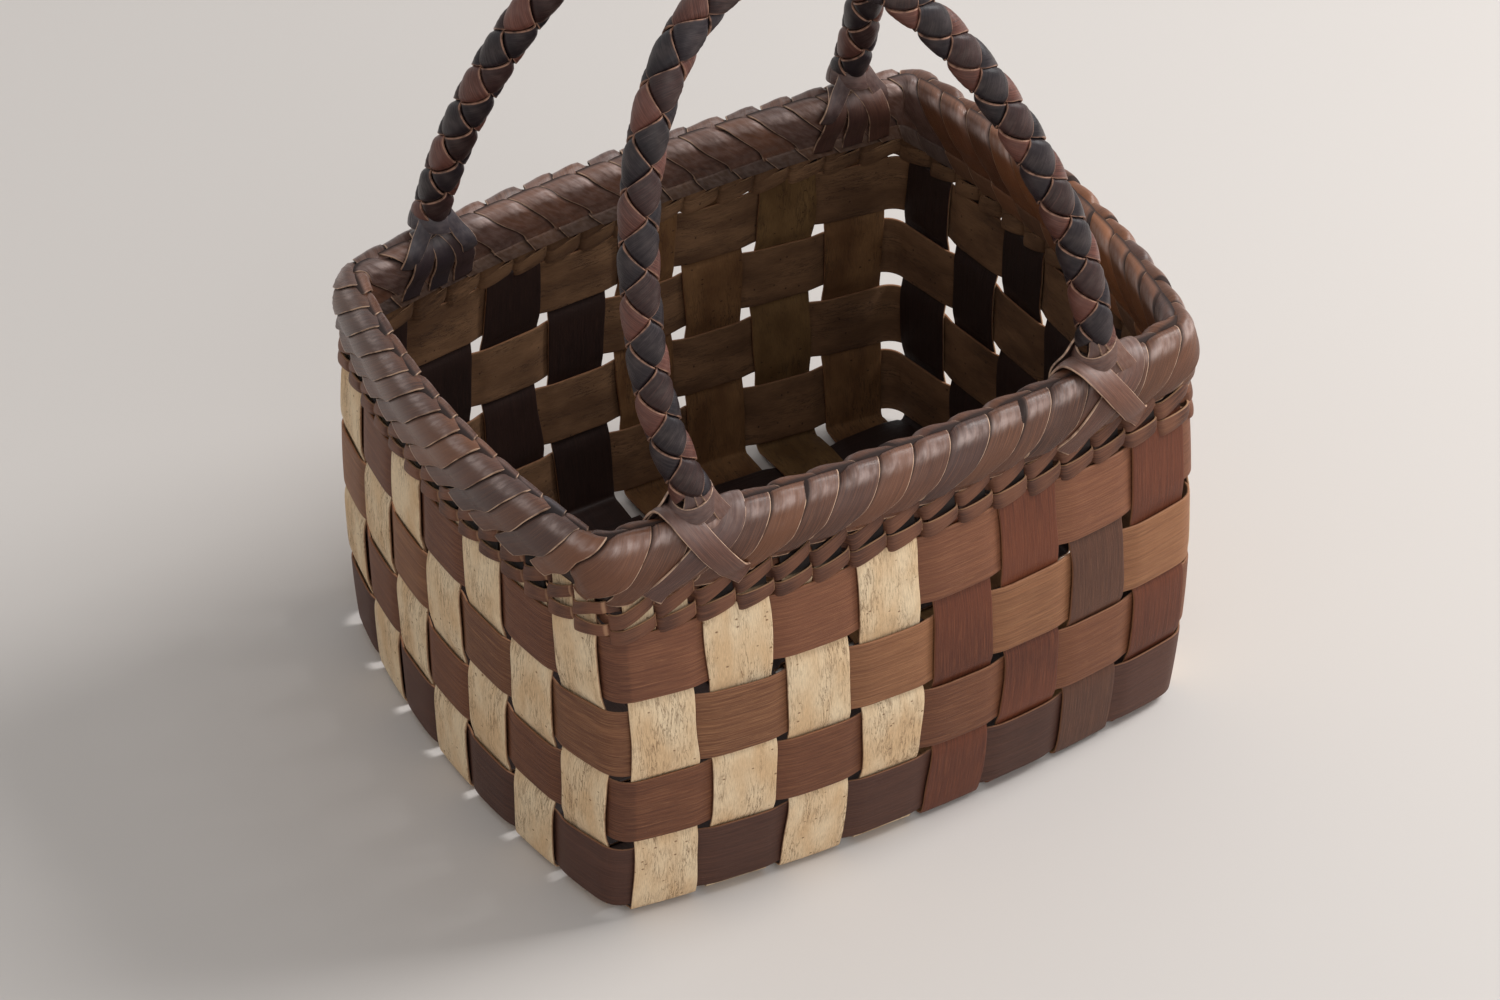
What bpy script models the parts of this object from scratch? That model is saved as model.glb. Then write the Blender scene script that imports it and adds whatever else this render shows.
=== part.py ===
"""Basket bag plaited from strips of tree bark, with two braided handles.

Metres, +Z up. X runs along the long walls, Y across the bag, and the bag
stands on z = 0. The strips cross in a plain weave over the base, fold up at
its edge and go on up the walls between four hoops. Two rows of twining lock
them under a thick rim of folded straps, and each handle stands on the rim.
"""
import math

import bmesh
import bpy
from mathutils import Vector

# Bark strips of the weave
STRIP_THICKNESS = 0.0011
STRIP_GAP = 0.0004
EDGE_MARGIN = 0.0003
CROSS_STRIP_COUNT = 8
CROSS_STRIP_WIDTH = 0.0208
CROSS_STRIP_PITCH = 0.025
LENGTH_STRIP_COUNT = 7
LENGTH_STRIP_WIDTH = 0.0196
LENGTH_STRIP_PITCH = 0.0231
HOOP_COUNT = 4
HOOP_HEIGHT = 0.0226
HOOP_SPACING = 0.0045

# Plan of the wall: four bowed sides joined by small round corners
CORNER_LAP = 0.001
LONG_WALL_BOW = 0.008
SHORT_WALL_BOW = 0.0085
CORNER_RADIUS = 0.008
CORNER_STEP_SHARES = (0.3, 0.5, 0.7)
BASE_BEND_RADIUS = 0.002
BASE_BEND_STEPS = 2
STRAIGHTENING = 0.0015

# Going up, the walls swell out and the rim draws them in again
LONG_WALL_SPREAD_SHARE = 0.28
LONG_WALL_DRAW_SHARE = 0.35
SHORT_WALL_SPREAD_SHARE = 0.04
SHORT_WALL_DRAW_SHARE = 0.035

# Twining, two strands to a row
TWINE_ROW_COUNT = 2
TWINE_HEIGHT = 0.0032
TWINE_THICKNESS = 0.0009
TWINE_LIFT = 0.0002
TWINE_ROW_GAP = 0.0003

# Rim border: the strip ends, split in two, fold over as slanting straps
RIM_SEAT_GAP = 0.0004
STRIP_END_GAP = 0.0003
RIM_HEIGHT = 0.0218
RIM_HALF_WIDTH = 0.0055
RIM_INSET = 0.001
STRAPS_PER_STRIP = 2
STRAP_STEP = 0.0008
STRAP_STEP_WIDTH = 0.0006
RIM_OUT_SHARES = (0.86, 1.00, 0.66, 0.22, -0.45, -0.91, -0.66, 0.00, 0.00)
RIM_UP_SHARES = (0.00, 0.50, 0.90, 1.00, 0.88, 0.58, 0.38, 0.30, 0.00)
STRAP_LAG_SHARES = (-2.6, -1.3, -0.25, 0.0, -0.3, -0.9, -1.2, -1.3, -1.3)

# Handles: four straps braided into a round cord, bent to an arch
BRAID_RADIUS = 0.0055
BRAID_SWELL = 0.0006
BRAID_ROW = 0.0088
BRAID_SIDES = 8
ARCH_SAMPLES = 400
FOOT_RING_SHARES = (0.15, 0.45, 0.75, 1.0)
FOOT_CLEARANCE = 0.0003
NEAR_FOOT_SPAN = 0.149
NEAR_ARCH_RISE = 0.153
NEAR_ARCH_SHIFT = -0.002
NEAR_ARCH_SKEW_SHARE = -0.17
NEAR_LEAN_DEG = 13.0
FAR_FOOT_SPAN = 0.152
FAR_ARCH_RISE = 0.145
FAR_ARCH_SHIFT = 0.004
FAR_ARCH_SKEW_SHARE = 0.0
FAR_LEAN_DEG = 21.0

# Lashings: two crossed straps over the rim at each foot, and a collar
LASH_WIDTH = 0.0075
LASH_THICKNESS = 0.0010
LASH_GAP = 0.0004
LASH_SPREAD = 0.0125
LASH_LEAN_SHARES = (-1.0, -0.1, 0.75, 1.0, 0.95, 0.7, 0.5)
COLLAR_GAP = 0.0004
COLLAR_HEIGHT = 0.003
COLLAR_LIFT = 0.0003
COLLAR_SIDES = 12

# Derived sizes of the weave
WEAVE_OFFSET = (STRIP_THICKNESS + STRIP_GAP) / 2
BASE_MID_Z = WEAVE_OFFSET + STRIP_THICKNESS / 2
HOOP_BASE_Z = BASE_MID_Z + BASE_BEND_RADIUS + EDGE_MARGIN
HOOP_STEP = HOOP_HEIGHT + HOOP_SPACING
HOOPS_TOP_Z = HOOP_BASE_Z + HOOP_COUNT * HOOP_STEP - HOOP_SPACING
STRAIGHT_Z = HOOPS_TOP_Z + EDGE_MARGIN + STRAIGHTENING
TWINE_SWAY = (TWINE_HEIGHT + STRIP_GAP) / 2
TWINE_HALF_ROW = TWINE_SWAY + TWINE_HEIGHT / 2
TWINE_BASE_Z = STRAIGHT_Z + TWINE_LIFT
TWINE_STEP = 2 * TWINE_HALF_ROW + TWINE_ROW_GAP
TWINE_OFFSET = STRIP_THICKNESS / 2 + STRIP_GAP + TWINE_THICKNESS / 2
RIM_BASE_Z = TWINE_BASE_Z + TWINE_ROW_COUNT * TWINE_STEP - TWINE_ROW_GAP + RIM_SEAT_GAP
STRIP_TOP_Z = RIM_BASE_Z - STRIP_END_GAP
RIM_TOP_Z = RIM_BASE_Z + RIM_HEIGHT + STRAP_STEP
HANDLE_LINE_Z = RIM_TOP_Z + FOOT_CLEARANCE + BRAID_RADIUS

# Derived sizes of the wall's plan, on its middle surface
LONG_HALF_CHORD = (CROSS_STRIP_COUNT - 1) / 2 * CROSS_STRIP_PITCH + CROSS_STRIP_WIDTH / 2 - CORNER_LAP
SHORT_HALF_CHORD = (LENGTH_STRIP_COUNT - 1) / 2 * LENGTH_STRIP_PITCH + LENGTH_STRIP_WIDTH / 2 - CORNER_LAP
LONG_ARC_RADIUS = (LONG_HALF_CHORD ** 2 + LONG_WALL_BOW ** 2) / (2 * LONG_WALL_BOW)
SHORT_ARC_RADIUS = (SHORT_HALF_CHORD ** 2 + SHORT_WALL_BOW ** 2) / (2 * SHORT_WALL_BOW)
LONG_END_ANGLE = math.asin(LONG_HALF_CHORD / LONG_ARC_RADIUS)
SHORT_END_ANGLE = math.asin(SHORT_HALF_CHORD / SHORT_ARC_RADIUS)
CORNER_X = LONG_HALF_CHORD - CORNER_RADIUS * math.sin(LONG_END_ANGLE)
CORNER_Y = SHORT_HALF_CHORD - CORNER_RADIUS * math.sin(SHORT_END_ANGLE)
HALF_DEPTH = CORNER_Y + CORNER_RADIUS * math.cos(LONG_END_ANGLE) + LONG_WALL_BOW
HALF_LENGTH = CORNER_X + CORNER_RADIUS * math.cos(SHORT_END_ANGLE) + SHORT_WALL_BOW
LONG_HALF_ARC = LONG_ARC_RADIUS * LONG_END_ANGLE
SHORT_HALF_ARC = SHORT_ARC_RADIUS * SHORT_END_ANGLE
CORNER_ARC = CORNER_RADIUS * (math.pi / 2 - LONG_END_ANGLE - SHORT_END_ANGLE)
QUARTER = LONG_HALF_ARC + CORNER_ARC + SHORT_HALF_ARC

# Finishes: colour, roughness
FINISHES = {
    "cream_bark": ((0.60, 0.46, 0.29), 0.75),
    "red_bark": ((0.16, 0.055, 0.025), 0.45),
    "brown_bark": ((0.14, 0.065, 0.040), 0.50),
    "dark_bark": ((0.070, 0.035, 0.028), 0.50),
    "strap_bark": ((0.15, 0.075, 0.055), 0.40),
    "braid_bark": ((0.040, 0.026, 0.028), 0.35),
}
CROSS_STRIP_FINISHES = ("cream_bark",) * 4 + ("red_bark", "red_bark", "brown_bark", "red_bark")
HOOP_FINISHES = ("dark_bark", "brown_bark", "brown_bark", "brown_bark")


def clear_scene():
    """Remove every object that the file starts with."""
    for obj in list(bpy.data.objects):
        bpy.data.objects.remove(obj, do_unlink=True)


def make_finish(name):
    """A plain bark finish of one colour and roughness."""
    colour, roughness = FINISHES[name]
    material = bpy.data.materials.new(name)
    material.use_nodes = True
    shader = material.node_tree.nodes["Principled BSDF"]
    shader.inputs["Base Color"].default_value = (*colour, 1.0)
    shader.inputs["Roughness"].default_value = roughness
    shader.inputs["Metallic"].default_value = 0.0
    return material


def add_object(name, bm, finish, parent):
    """Turn a bmesh into a named object with its finish under its parent."""
    mesh = bpy.data.meshes.new(name)
    bm.to_mesh(mesh)
    bm.free()
    mesh.materials.append(finish)
    obj = bpy.data.objects.new(name, mesh)
    bpy.context.scene.collection.objects.link(obj)
    obj.parent = parent
    return obj


def add_empty(name, parent, location, lean_deg):
    """An empty that places pieces, leant about the X axis."""
    empty = bpy.data.objects.new(name, None)
    bpy.context.scene.collection.objects.link(empty)
    empty.parent = parent
    empty.location = location
    empty.rotation_euler = (math.radians(lean_deg), 0.0, 0.0)
    return empty


def add_ribbon(name, stations, thickness, finish, parent, cyclic=False):
    """A strip from rows of points across it, given its thickness by Solidify."""
    bm = bmesh.new()
    rows = [[bm.verts.new(point) for point in station] for station in stations]
    followers = rows[1:] + rows[:1] if cyclic else rows[1:]
    for here, there in zip(rows, followers):
        for k in range(len(here) - 1):
            bm.faces.new((here[k], there[k], there[k + 1], here[k + 1]))
    obj = add_object(name, bm, finish, parent)
    solid = obj.modifiers.new("thickness", "SOLIDIFY")
    solid.thickness = thickness
    solid.offset = 0.0
    solid.use_even_offset = True
    return obj


def add_loft(name, rings, finish, parent, cyclic=False):
    """A smooth body from rings of points, closed on itself or with filled ends."""
    bm = bmesh.new()
    loops = [[bm.verts.new(point) for point in ring] for ring in rings]
    followers = loops[1:] + loops[:1] if cyclic else loops[1:]
    for here, there in zip(loops, followers):
        for i in range(len(here)):
            j = (i + 1) % len(here)
            bm.faces.new((here[i], here[j], there[j], there[i]))
    if not cyclic:
        bm.faces.new(loops[0])
        bm.faces.new(loops[-1])
    bmesh.ops.triangulate(bm, faces=bm.faces)
    bmesh.ops.recalc_face_normals(bm, faces=bm.faces)
    obj = add_object(name, bm, finish, parent)
    obj.data.shade_smooth()
    obj.data.set_sharp_from_angle(angle=math.radians(40))
    return obj


def quarter_point(t):
    """Point and outward normal of the near right quarter of the wall's plan.

    t is the length walked from the middle of the near long wall.
    """
    if t <= LONG_HALF_ARC:
        angle = t / LONG_ARC_RADIUS
        centre = (0.0, LONG_ARC_RADIUS - HALF_DEPTH)
        radius = LONG_ARC_RADIUS
    elif t <= LONG_HALF_ARC + CORNER_ARC:
        angle = LONG_END_ANGLE + (t - LONG_HALF_ARC) / CORNER_RADIUS
        centre = (CORNER_X, -CORNER_Y)
        radius = CORNER_RADIUS
    else:
        angle = math.pi / 2 - (QUARTER - t) / SHORT_ARC_RADIUS
        centre = (HALF_LENGTH - SHORT_ARC_RADIUS, 0.0)
        radius = SHORT_ARC_RADIUS
    normal = Vector((math.sin(angle), -math.cos(angle), 0.0))
    return Vector((*centre, 0.0)) + radius * normal, normal


def plan_point(s):
    """Point and outward normal on the whole plan, walked leftwards round from the near wall."""
    quadrant, t = divmod(s % (4 * QUARTER), QUARTER)
    flip_x = -1 if quadrant in (2, 3) else 1
    flip_y = -1 if quadrant in (1, 2) else 1
    point, normal = quarter_point(QUARTER - t if quadrant in (1, 3) else t)
    return (Vector((point.x * flip_x, point.y * flip_y, 0.0)),
            Vector((normal.x * flip_x, normal.y * flip_y, 0.0)))


def swell(z, spread_share, draw_share):
    """How much wider the plan is at height z than at the base."""
    rise = z / RIM_TOP_Z
    return 1 + spread_share * rise - draw_share * rise * rise


def wall_point(s, out, z):
    """Point of the wall at height z, out from its middle surface."""
    point, normal = plan_point(s)
    x = point.x * swell(z, SHORT_WALL_SPREAD_SHARE, SHORT_WALL_DRAW_SHARE)
    y = point.y * swell(z, LONG_WALL_SPREAD_SHARE, LONG_WALL_DRAW_SHARE)
    return Vector((x, y, z)) + normal * out


def bend_point(s, out, turn):
    """Point on the round fold between base and wall, at turn from 0 to a right angle."""
    reach = (BASE_BEND_RADIUS + out) * math.sin(turn) - BASE_BEND_RADIUS
    drop = (BASE_BEND_RADIUS + out) * math.cos(turn)
    return wall_point(s, reach, BASE_MID_Z + BASE_BEND_RADIUS - drop)


def long_wall_s(x):
    """Walk to the point of the near long wall at x."""
    return LONG_ARC_RADIUS * math.asin(x / LONG_ARC_RADIUS)


def short_wall_s(y):
    """Walk to the point of the right short wall at y."""
    return QUARTER + SHORT_ARC_RADIUS * math.asin(y / SHORT_ARC_RADIUS)


def rim_walk(x):
    """Walk to the point of the near rim above x."""
    return long_wall_s(x / swell(RIM_TOP_Z, SHORT_WALL_SPREAD_SHARE, SHORT_WALL_DRAW_SHARE))


def rim_middle_y(x):
    """Distance of the rim's middle line from the middle of the bag, above x."""
    return -wall_point(rim_walk(x), -RIM_INSET, RIM_TOP_Z).y


def cross_strip_x(i):
    """Middle of cross strip i, counted from the left."""
    return (i - (CROSS_STRIP_COUNT - 1) / 2) * CROSS_STRIP_PITCH


def length_strip_y(j):
    """Middle of lengthwise strip j, counted from the near side."""
    return (j - (LENGTH_STRIP_COUNT - 1) / 2) * LENGTH_STRIP_PITCH


def wall_uprights():
    """Where each upright stands round the wall: the walks to its two edges, in order."""
    half = []
    for i in range(CROSS_STRIP_COUNT):
        s = long_wall_s(cross_strip_x(i))
        half.append((s - CROSS_STRIP_WIDTH / 2, s + CROSS_STRIP_WIDTH / 2))
    for j in range(LENGTH_STRIP_COUNT):
        s = short_wall_s(length_strip_y(j))
        half.append((s - LENGTH_STRIP_WIDTH / 2, s + LENGTH_STRIP_WIDTH / 2))
    return half + [(a + 2 * QUARTER, b + 2 * QUARTER) for a, b in half]


def is_outside(upright, hoop):
    """Whether an upright passes outside a hoop, hoops counted from the bottom."""
    return (upright + hoop) % 2 == 0


def hoop_edges(hoop):
    """Lower and upper edge of a hoop."""
    low = HOOP_BASE_Z + hoop * HOOP_STEP
    return low, low + HOOP_HEIGHT


def upright_stations(upright, edge_a, edge_b):
    """Pairs of edge points up a wall, from the fold at the base to under the rim."""
    first_side = 1 if is_outside(upright, 0) else -1
    outs = (-first_side * WEAVE_OFFSET, 0.0, first_side * WEAVE_OFFSET)
    stations = []
    for step in range(BASE_BEND_STEPS + 1):
        turn = math.pi / 2 * step / BASE_BEND_STEPS
        stations.append([bend_point(s, outs[step], turn) for s in (edge_a, edge_b)])
    for hoop in range(HOOP_COUNT):
        out = WEAVE_OFFSET if is_outside(upright, hoop) else -WEAVE_OFFSET
        low, high = hoop_edges(hoop)
        levels = (low - EDGE_MARGIN, high + EDGE_MARGIN) if hoop else (high + EDGE_MARGIN,)
        for z in levels:
            stations.append([wall_point(s, out, z) for s in (edge_a, edge_b)])
    for z in (STRAIGHT_Z, STRIP_TOP_Z):
        stations.append([wall_point(s, 0.0, z) for s in (edge_a, edge_b)])
    return stations


def base_z(over):
    """Middle height of a base strip where it passes over or under another."""
    return BASE_MID_Z + (WEAVE_OFFSET if over else -WEAVE_OFFSET)


def add_cross_strip(i, uprights, finish, parent):
    """One strip across the base and up both long walls, woven over and under."""
    x = cross_strip_x(i)
    edges = (x - CROSS_STRIP_WIDTH / 2, x + CROSS_STRIP_WIDTH / 2)
    near_index = i
    far_index = 2 * CROSS_STRIP_COUNT + LENGTH_STRIP_COUNT - 1 - i
    near = upright_stations(near_index, *uprights[near_index])
    far_b, far_a = uprights[far_index]
    far = upright_stations(far_index, far_a, far_b)
    base = []
    for j in range(LENGTH_STRIP_COUNT):
        z = base_z((i + j) % 2 == 0)
        half = LENGTH_STRIP_WIDTH / 2 + EDGE_MARGIN
        for y in (length_strip_y(j) - half, length_strip_y(j) + half):
            base.append([Vector((edge, y, z)) for edge in edges])
    name = f"cross_strip_{i + 1}"
    return add_ribbon(name, near[::-1] + base + far, STRIP_THICKNESS, finish, parent)


def add_length_strip(j, uprights, finish, parent):
    """One strip along the base and up both short walls, woven over and under."""
    y = length_strip_y(j)
    edges = (y - LENGTH_STRIP_WIDTH / 2, y + LENGTH_STRIP_WIDTH / 2)
    right_index = CROSS_STRIP_COUNT + j
    left_index = 2 * (CROSS_STRIP_COUNT + LENGTH_STRIP_COUNT) - 1 - j
    left_b, left_a = uprights[left_index]
    left = upright_stations(left_index, left_a, left_b)
    right = upright_stations(right_index, *uprights[right_index])
    base = []
    for i in range(CROSS_STRIP_COUNT):
        z = base_z((i + j) % 2 == 1)
        half = CROSS_STRIP_WIDTH / 2 + EDGE_MARGIN
        for x in (cross_strip_x(i) - half, cross_strip_x(i) + half):
            base.append([Vector((x, edge, z)) for edge in edges])
    name = f"length_strip_{j + 1}"
    return add_ribbon(name, left[::-1] + base + right, STRIP_THICKNESS, finish, parent)


def corner_walks(upright, uprights):
    """Walks of the extra stations that a band needs round the corner after an upright."""
    before = (CROSS_STRIP_COUNT - 1, CROSS_STRIP_COUNT + LENGTH_STRIP_COUNT - 1)
    half_count = CROSS_STRIP_COUNT + LENGTH_STRIP_COUNT
    if upright % half_count not in before:
        return []
    side = LONG_HALF_ARC if upright % half_count == before[0] else QUARTER + SHORT_HALF_ARC
    start = side + 2 * QUARTER * (upright // half_count)
    return [start + share * CORNER_ARC for share in CORNER_STEP_SHARES]


def add_hoop(hoop, uprights, finish, parent):
    """A flat band round the walls that passes each upright on alternate sides."""
    low, high = hoop_edges(hoop)
    stations = []
    for upright, (edge_a, edge_b) in enumerate(uprights):
        out = -WEAVE_OFFSET if is_outside(upright, hoop) else WEAVE_OFFSET
        for s in (edge_a - EDGE_MARGIN, edge_b + EDGE_MARGIN):
            stations.append((wall_point(s, out, low), wall_point(s, out, high)))
        for s in corner_walks(upright, uprights):
            stations.append((wall_point(s, 0.0, low), wall_point(s, 0.0, high)))
    name = f"wall_hoop_{hoop + 1}"
    return add_ribbon(name, stations, STRIP_THICKNESS, finish, parent, cyclic=True)


def twine_pair(s, out, z):
    """Lower and upper edge point of a twining strand."""
    half = TWINE_HEIGHT / 2
    return wall_point(s, out, z - half), wall_point(s, out, z + half)


def add_twine_strand(row, strand, uprights, finish, parent):
    """One strand of a twined pair: in front of one upright and behind the next.

    In front it rises to the right and behind it falls, so that the two strands
    of a pair cross between uprights one above the other.
    """
    middle = TWINE_BASE_Z + TWINE_HALF_ROW + row * TWINE_STEP
    stations = []
    for upright, (edge_a, edge_b) in enumerate(uprights):
        side = 1 if (upright + strand + row) % 2 == 0 else -1
        first = twine_pair(edge_a - EDGE_MARGIN, side * TWINE_OFFSET, middle - side * TWINE_SWAY)
        last = twine_pair(edge_b + EDGE_MARGIN, side * TWINE_OFFSET, middle + side * TWINE_SWAY)
        stations += [first, last]
        walks = corner_walks(upright, uprights)
        for share, s in zip(CORNER_STEP_SHARES, walks):
            out = side * TWINE_OFFSET * (1 - 2 * share)
            stations.append(twine_pair(s, out, middle + side * TWINE_SWAY))
    name = f"twine_row_{row + 1}_strand_{strand + 1}"
    return add_ribbon(name, stations, TWINE_THICKNESS, finish, parent, cyclic=True)


def rim_section(swell):
    """Outline of the rim as (out, z) pairs, swollen evenly by moving each side outwards."""
    points = [Vector((RIM_HALF_WIDTH * out - RIM_INSET, RIM_BASE_Z + RIM_HEIGHT * up))
              for out, up in zip(RIM_OUT_SHARES, RIM_UP_SHARES)]
    swollen = []
    for k, point in enumerate(points):
        before = (point - points[k - 1]).normalized()
        after = (points[(k + 1) % len(points)] - point).normalized()
        side_a = Vector((before.y, -before.x))
        side_b = Vector((after.y, -after.x))
        mitre = (side_a + side_b).normalized()
        swollen.append(point + mitre * (swell / mitre.dot(side_a)))
    return swollen


def add_rim(strap_count, finish, parent):
    """The rolled rim: a ring of slanting straps, each lying on the one after it."""
    pitch = 4 * QUARTER / strap_count
    lifted = rim_section(STRAP_STEP)
    level = rim_section(0.0)
    rings = []
    for strap in range(strap_count):
        for start, section in ((0.0, level), (pitch - STRAP_STEP_WIDTH, lifted)):
            ring = []
            for lag, point in zip(STRAP_LAG_SHARES, section):
                s = strap * pitch + start + lag * pitch
                ring.append(wall_point(s, point.x, max(point.y, RIM_BASE_Z)))
            rings.append(ring)
    return add_loft("rim_border", rings, finish, parent, cyclic=True)


def arch_points(span, rise, skew):
    """Many points along an arch in the XZ plane, foot to foot, with the length walked to each."""
    points = []
    for k in range(ARCH_SAMPLES + 1):
        turn = math.pi * k / ARCH_SAMPLES
        height = rise * math.sin(turn)
        points.append(Vector((-span / 2 * math.cos(turn) + skew * height, 0.0, height)))
    walked = [0.0]
    for a, b in zip(points, points[1:]):
        walked.append(walked[-1] + (b - a).length)
    return points, walked


def arch_at(points, walked, distance):
    """Point and direction of the arch after a walked length."""
    k = 1
    while k < len(walked) - 1 and walked[k] < distance:
        k += 1
    share = (distance - walked[k - 1]) / (walked[k] - walked[k - 1])
    return points[k - 1].lerp(points[k], share), (points[k] - points[k - 1]).normalized()


def braid_ring(centre, along, radii):
    """A ring of points square to the braid's direction, with its own radii."""
    across = Vector((0.0, 1.0, 0.0))
    outward = along.cross(across)
    ring = []
    for side, radius in enumerate(radii):
        turn = 2 * math.pi * side / len(radii)
        ring.append(centre + radius * (math.cos(turn) * outward + math.sin(turn) * across))
    return ring


def braid_radii(row):
    """Radii of one ring: a strap crosses on top at every other quarter turn."""
    radii = []
    for side in range(BRAID_SIDES):
        quarter, between = divmod(side, 2)
        swell = BRAID_SWELL if (quarter + row) % 2 == 0 else -BRAID_SWELL
        radii.append(BRAID_RADIUS + (0.0 if between else swell))
    return radii


def foot_rings(centre, along):
    """Rings of the round foot that turns on the rim, from its tip to its widest."""
    rings = []
    for share in FOOT_RING_SHARES:
        turn = math.pi / 2 * share
        radii = [BRAID_RADIUS * math.sin(turn)] * BRAID_SIDES
        rings.append(braid_ring(centre - along * (BRAID_RADIUS * math.cos(turn)), along, radii))
    return rings


def add_handle(name, span, rise, shift, skew, finish, parent):
    """An arched braid, modelled upright with its feet on the parent's hinge line."""
    points, walked = arch_points(span, rise, skew)
    row_count = round(walked[-1] / BRAID_ROW)
    offset = Vector((shift, 0.0, 0.0))
    upward = Vector((0.0, 0.0, 1.0))
    rings = foot_rings(points[0] + offset, upward)
    for row in range(1, row_count):
        centre, along = arch_at(points, walked, walked[-1] * row / row_count)
        rings.append(braid_ring(centre + offset, along, braid_radii(row)))
    last_foot = foot_rings(points[-1] + offset, upward)
    turned = [[ring[(BRAID_SIDES // 2 - side) % BRAID_SIDES] for side in range(BRAID_SIDES)]
              for ring in last_foot]
    return add_loft(name, rings + turned[::-1], finish, parent)


def add_lash(name, s, lean, layer, finish, parent):
    """A strap hooked over the rim, slanting across its outer face."""
    swell = STRAP_STEP + LASH_GAP + LASH_THICKNESS / 2 + layer * (LASH_THICKNESS + LASH_GAP)
    stations = []
    for share, point in zip(LASH_LEAN_SHARES, rim_section(swell)):
        middle = s + lean * share * LASH_SPREAD
        stations.append([wall_point(middle + side * LASH_WIDTH / 2, point.x, point.y)
                         for side in (-1, 0, 1)])
    return add_ribbon(name, stations, LASH_THICKNESS, finish, parent)


def add_collar(name, x, y, finish, parent):
    """A short band round the foot of a handle, lying on the rim."""
    radius = BRAID_RADIUS + COLLAR_GAP + LASH_THICKNESS / 2
    low = RIM_TOP_Z + COLLAR_LIFT
    stations = []
    for side in range(COLLAR_SIDES):
        turn = 2 * math.pi * side / COLLAR_SIDES
        spot = Vector((x + radius * math.cos(turn), y + radius * math.sin(turn), low))
        stations.append((spot, spot + Vector((0.0, 0.0, COLLAR_HEIGHT))))
    return add_ribbon(name, stations, LASH_THICKNESS, finish, parent, cyclic=True)


def add_foot_lashings(label, foot_x, side, finish, parent):
    """The crossed straps and the collar at one foot of a handle, side -1 near or 1 far."""
    walk = rim_walk(foot_x)
    if side > 0:
        walk = 2 * QUARTER - walk
    add_lash(f"{label}_lash_under", walk, 1, 0, finish, parent)
    add_lash(f"{label}_lash_over", walk, -1, 1, finish, parent)
    add_collar(f"{label}_collar", foot_x, side * rim_middle_y(foot_x), finish, parent)


def build_weave(finishes, basket):
    """Base strips, uprights, hoops and twining."""
    uprights = wall_uprights()
    for i in range(CROSS_STRIP_COUNT):
        add_cross_strip(i, uprights, finishes[CROSS_STRIP_FINISHES[i]], basket)
    for j in range(LENGTH_STRIP_COUNT):
        add_length_strip(j, uprights, finishes["cream_bark"], basket)
    for hoop in range(HOOP_COUNT):
        add_hoop(hoop, uprights, finishes[HOOP_FINISHES[hoop]], basket)
    for row in range(TWINE_ROW_COUNT):
        for strand in range(2):
            add_twine_strand(row, strand, uprights, finishes["brown_bark"], basket)
    return len(uprights)


def add_lashed_handle(label, side, arch, lean_deg, finishes, basket):
    """One handle on its hinge line above the rim, and what lashes its feet."""
    span, rise, shift, skew = arch
    line_y = side * rim_middle_y(span / 2)
    line = add_empty(f"{label}_handle_line", basket, (0.0, line_y, HANDLE_LINE_Z), side * lean_deg)
    add_handle(f"{label}_handle_braid", span, rise, shift, skew, finishes["braid_bark"], line)
    for foot_name, foot_x in (("left", shift - span / 2), ("right", shift + span / 2)):
        add_foot_lashings(f"{label}_{foot_name}", foot_x, side, finishes["strap_bark"], basket)


def build_bag():
    """The whole basket bag."""
    clear_scene()
    finishes = {name: make_finish(name) for name in FINISHES}
    basket = add_empty("basket_middle", None, (0.0, 0.0, 0.0), 0.0)
    upright_count = build_weave(finishes, basket)
    add_rim(STRAPS_PER_STRIP * upright_count, finishes["strap_bark"], basket)
    near_arch = (NEAR_FOOT_SPAN, NEAR_ARCH_RISE, NEAR_ARCH_SHIFT, NEAR_ARCH_SKEW_SHARE)
    add_lashed_handle("near", -1, near_arch, NEAR_LEAN_DEG, finishes, basket)
    far_arch = (FAR_FOOT_SPAN, FAR_ARCH_RISE, FAR_ARCH_SHIFT, FAR_ARCH_SKEW_SHARE)
    add_lashed_handle("far", 1, far_arch, FAR_LEAN_DEG, finishes, basket)


build_bag()
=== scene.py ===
"""Basket bag plaited from bark strips, with its bark, straps and braids shown as they are."""
import math

import bpy
import numpy as np
from mathutils import Matrix


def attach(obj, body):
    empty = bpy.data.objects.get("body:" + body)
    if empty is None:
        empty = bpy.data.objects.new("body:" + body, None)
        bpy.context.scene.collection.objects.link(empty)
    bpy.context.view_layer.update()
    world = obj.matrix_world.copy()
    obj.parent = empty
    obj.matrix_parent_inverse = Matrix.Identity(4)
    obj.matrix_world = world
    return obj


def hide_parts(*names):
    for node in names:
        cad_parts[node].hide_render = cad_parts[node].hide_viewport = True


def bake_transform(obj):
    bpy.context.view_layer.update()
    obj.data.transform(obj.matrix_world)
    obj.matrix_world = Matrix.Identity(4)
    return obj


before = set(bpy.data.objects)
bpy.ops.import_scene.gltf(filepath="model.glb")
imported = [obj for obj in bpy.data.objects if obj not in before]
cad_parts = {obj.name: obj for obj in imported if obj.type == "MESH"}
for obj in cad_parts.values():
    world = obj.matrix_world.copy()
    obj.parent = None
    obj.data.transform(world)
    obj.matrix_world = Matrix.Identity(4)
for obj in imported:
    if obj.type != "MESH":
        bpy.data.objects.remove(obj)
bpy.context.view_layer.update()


# Cross strips: eight strips of tree bark that run up the near wall, across the
# base and up the far wall, over and under everything they meet. Bark has a
# rough outer side and a smooth inner one, so each strip shows both.
MM = 0.001
STRIP_THICKNESS = 0.85 * MM
WEAVE_OFFSET = 0.75 * MM
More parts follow.
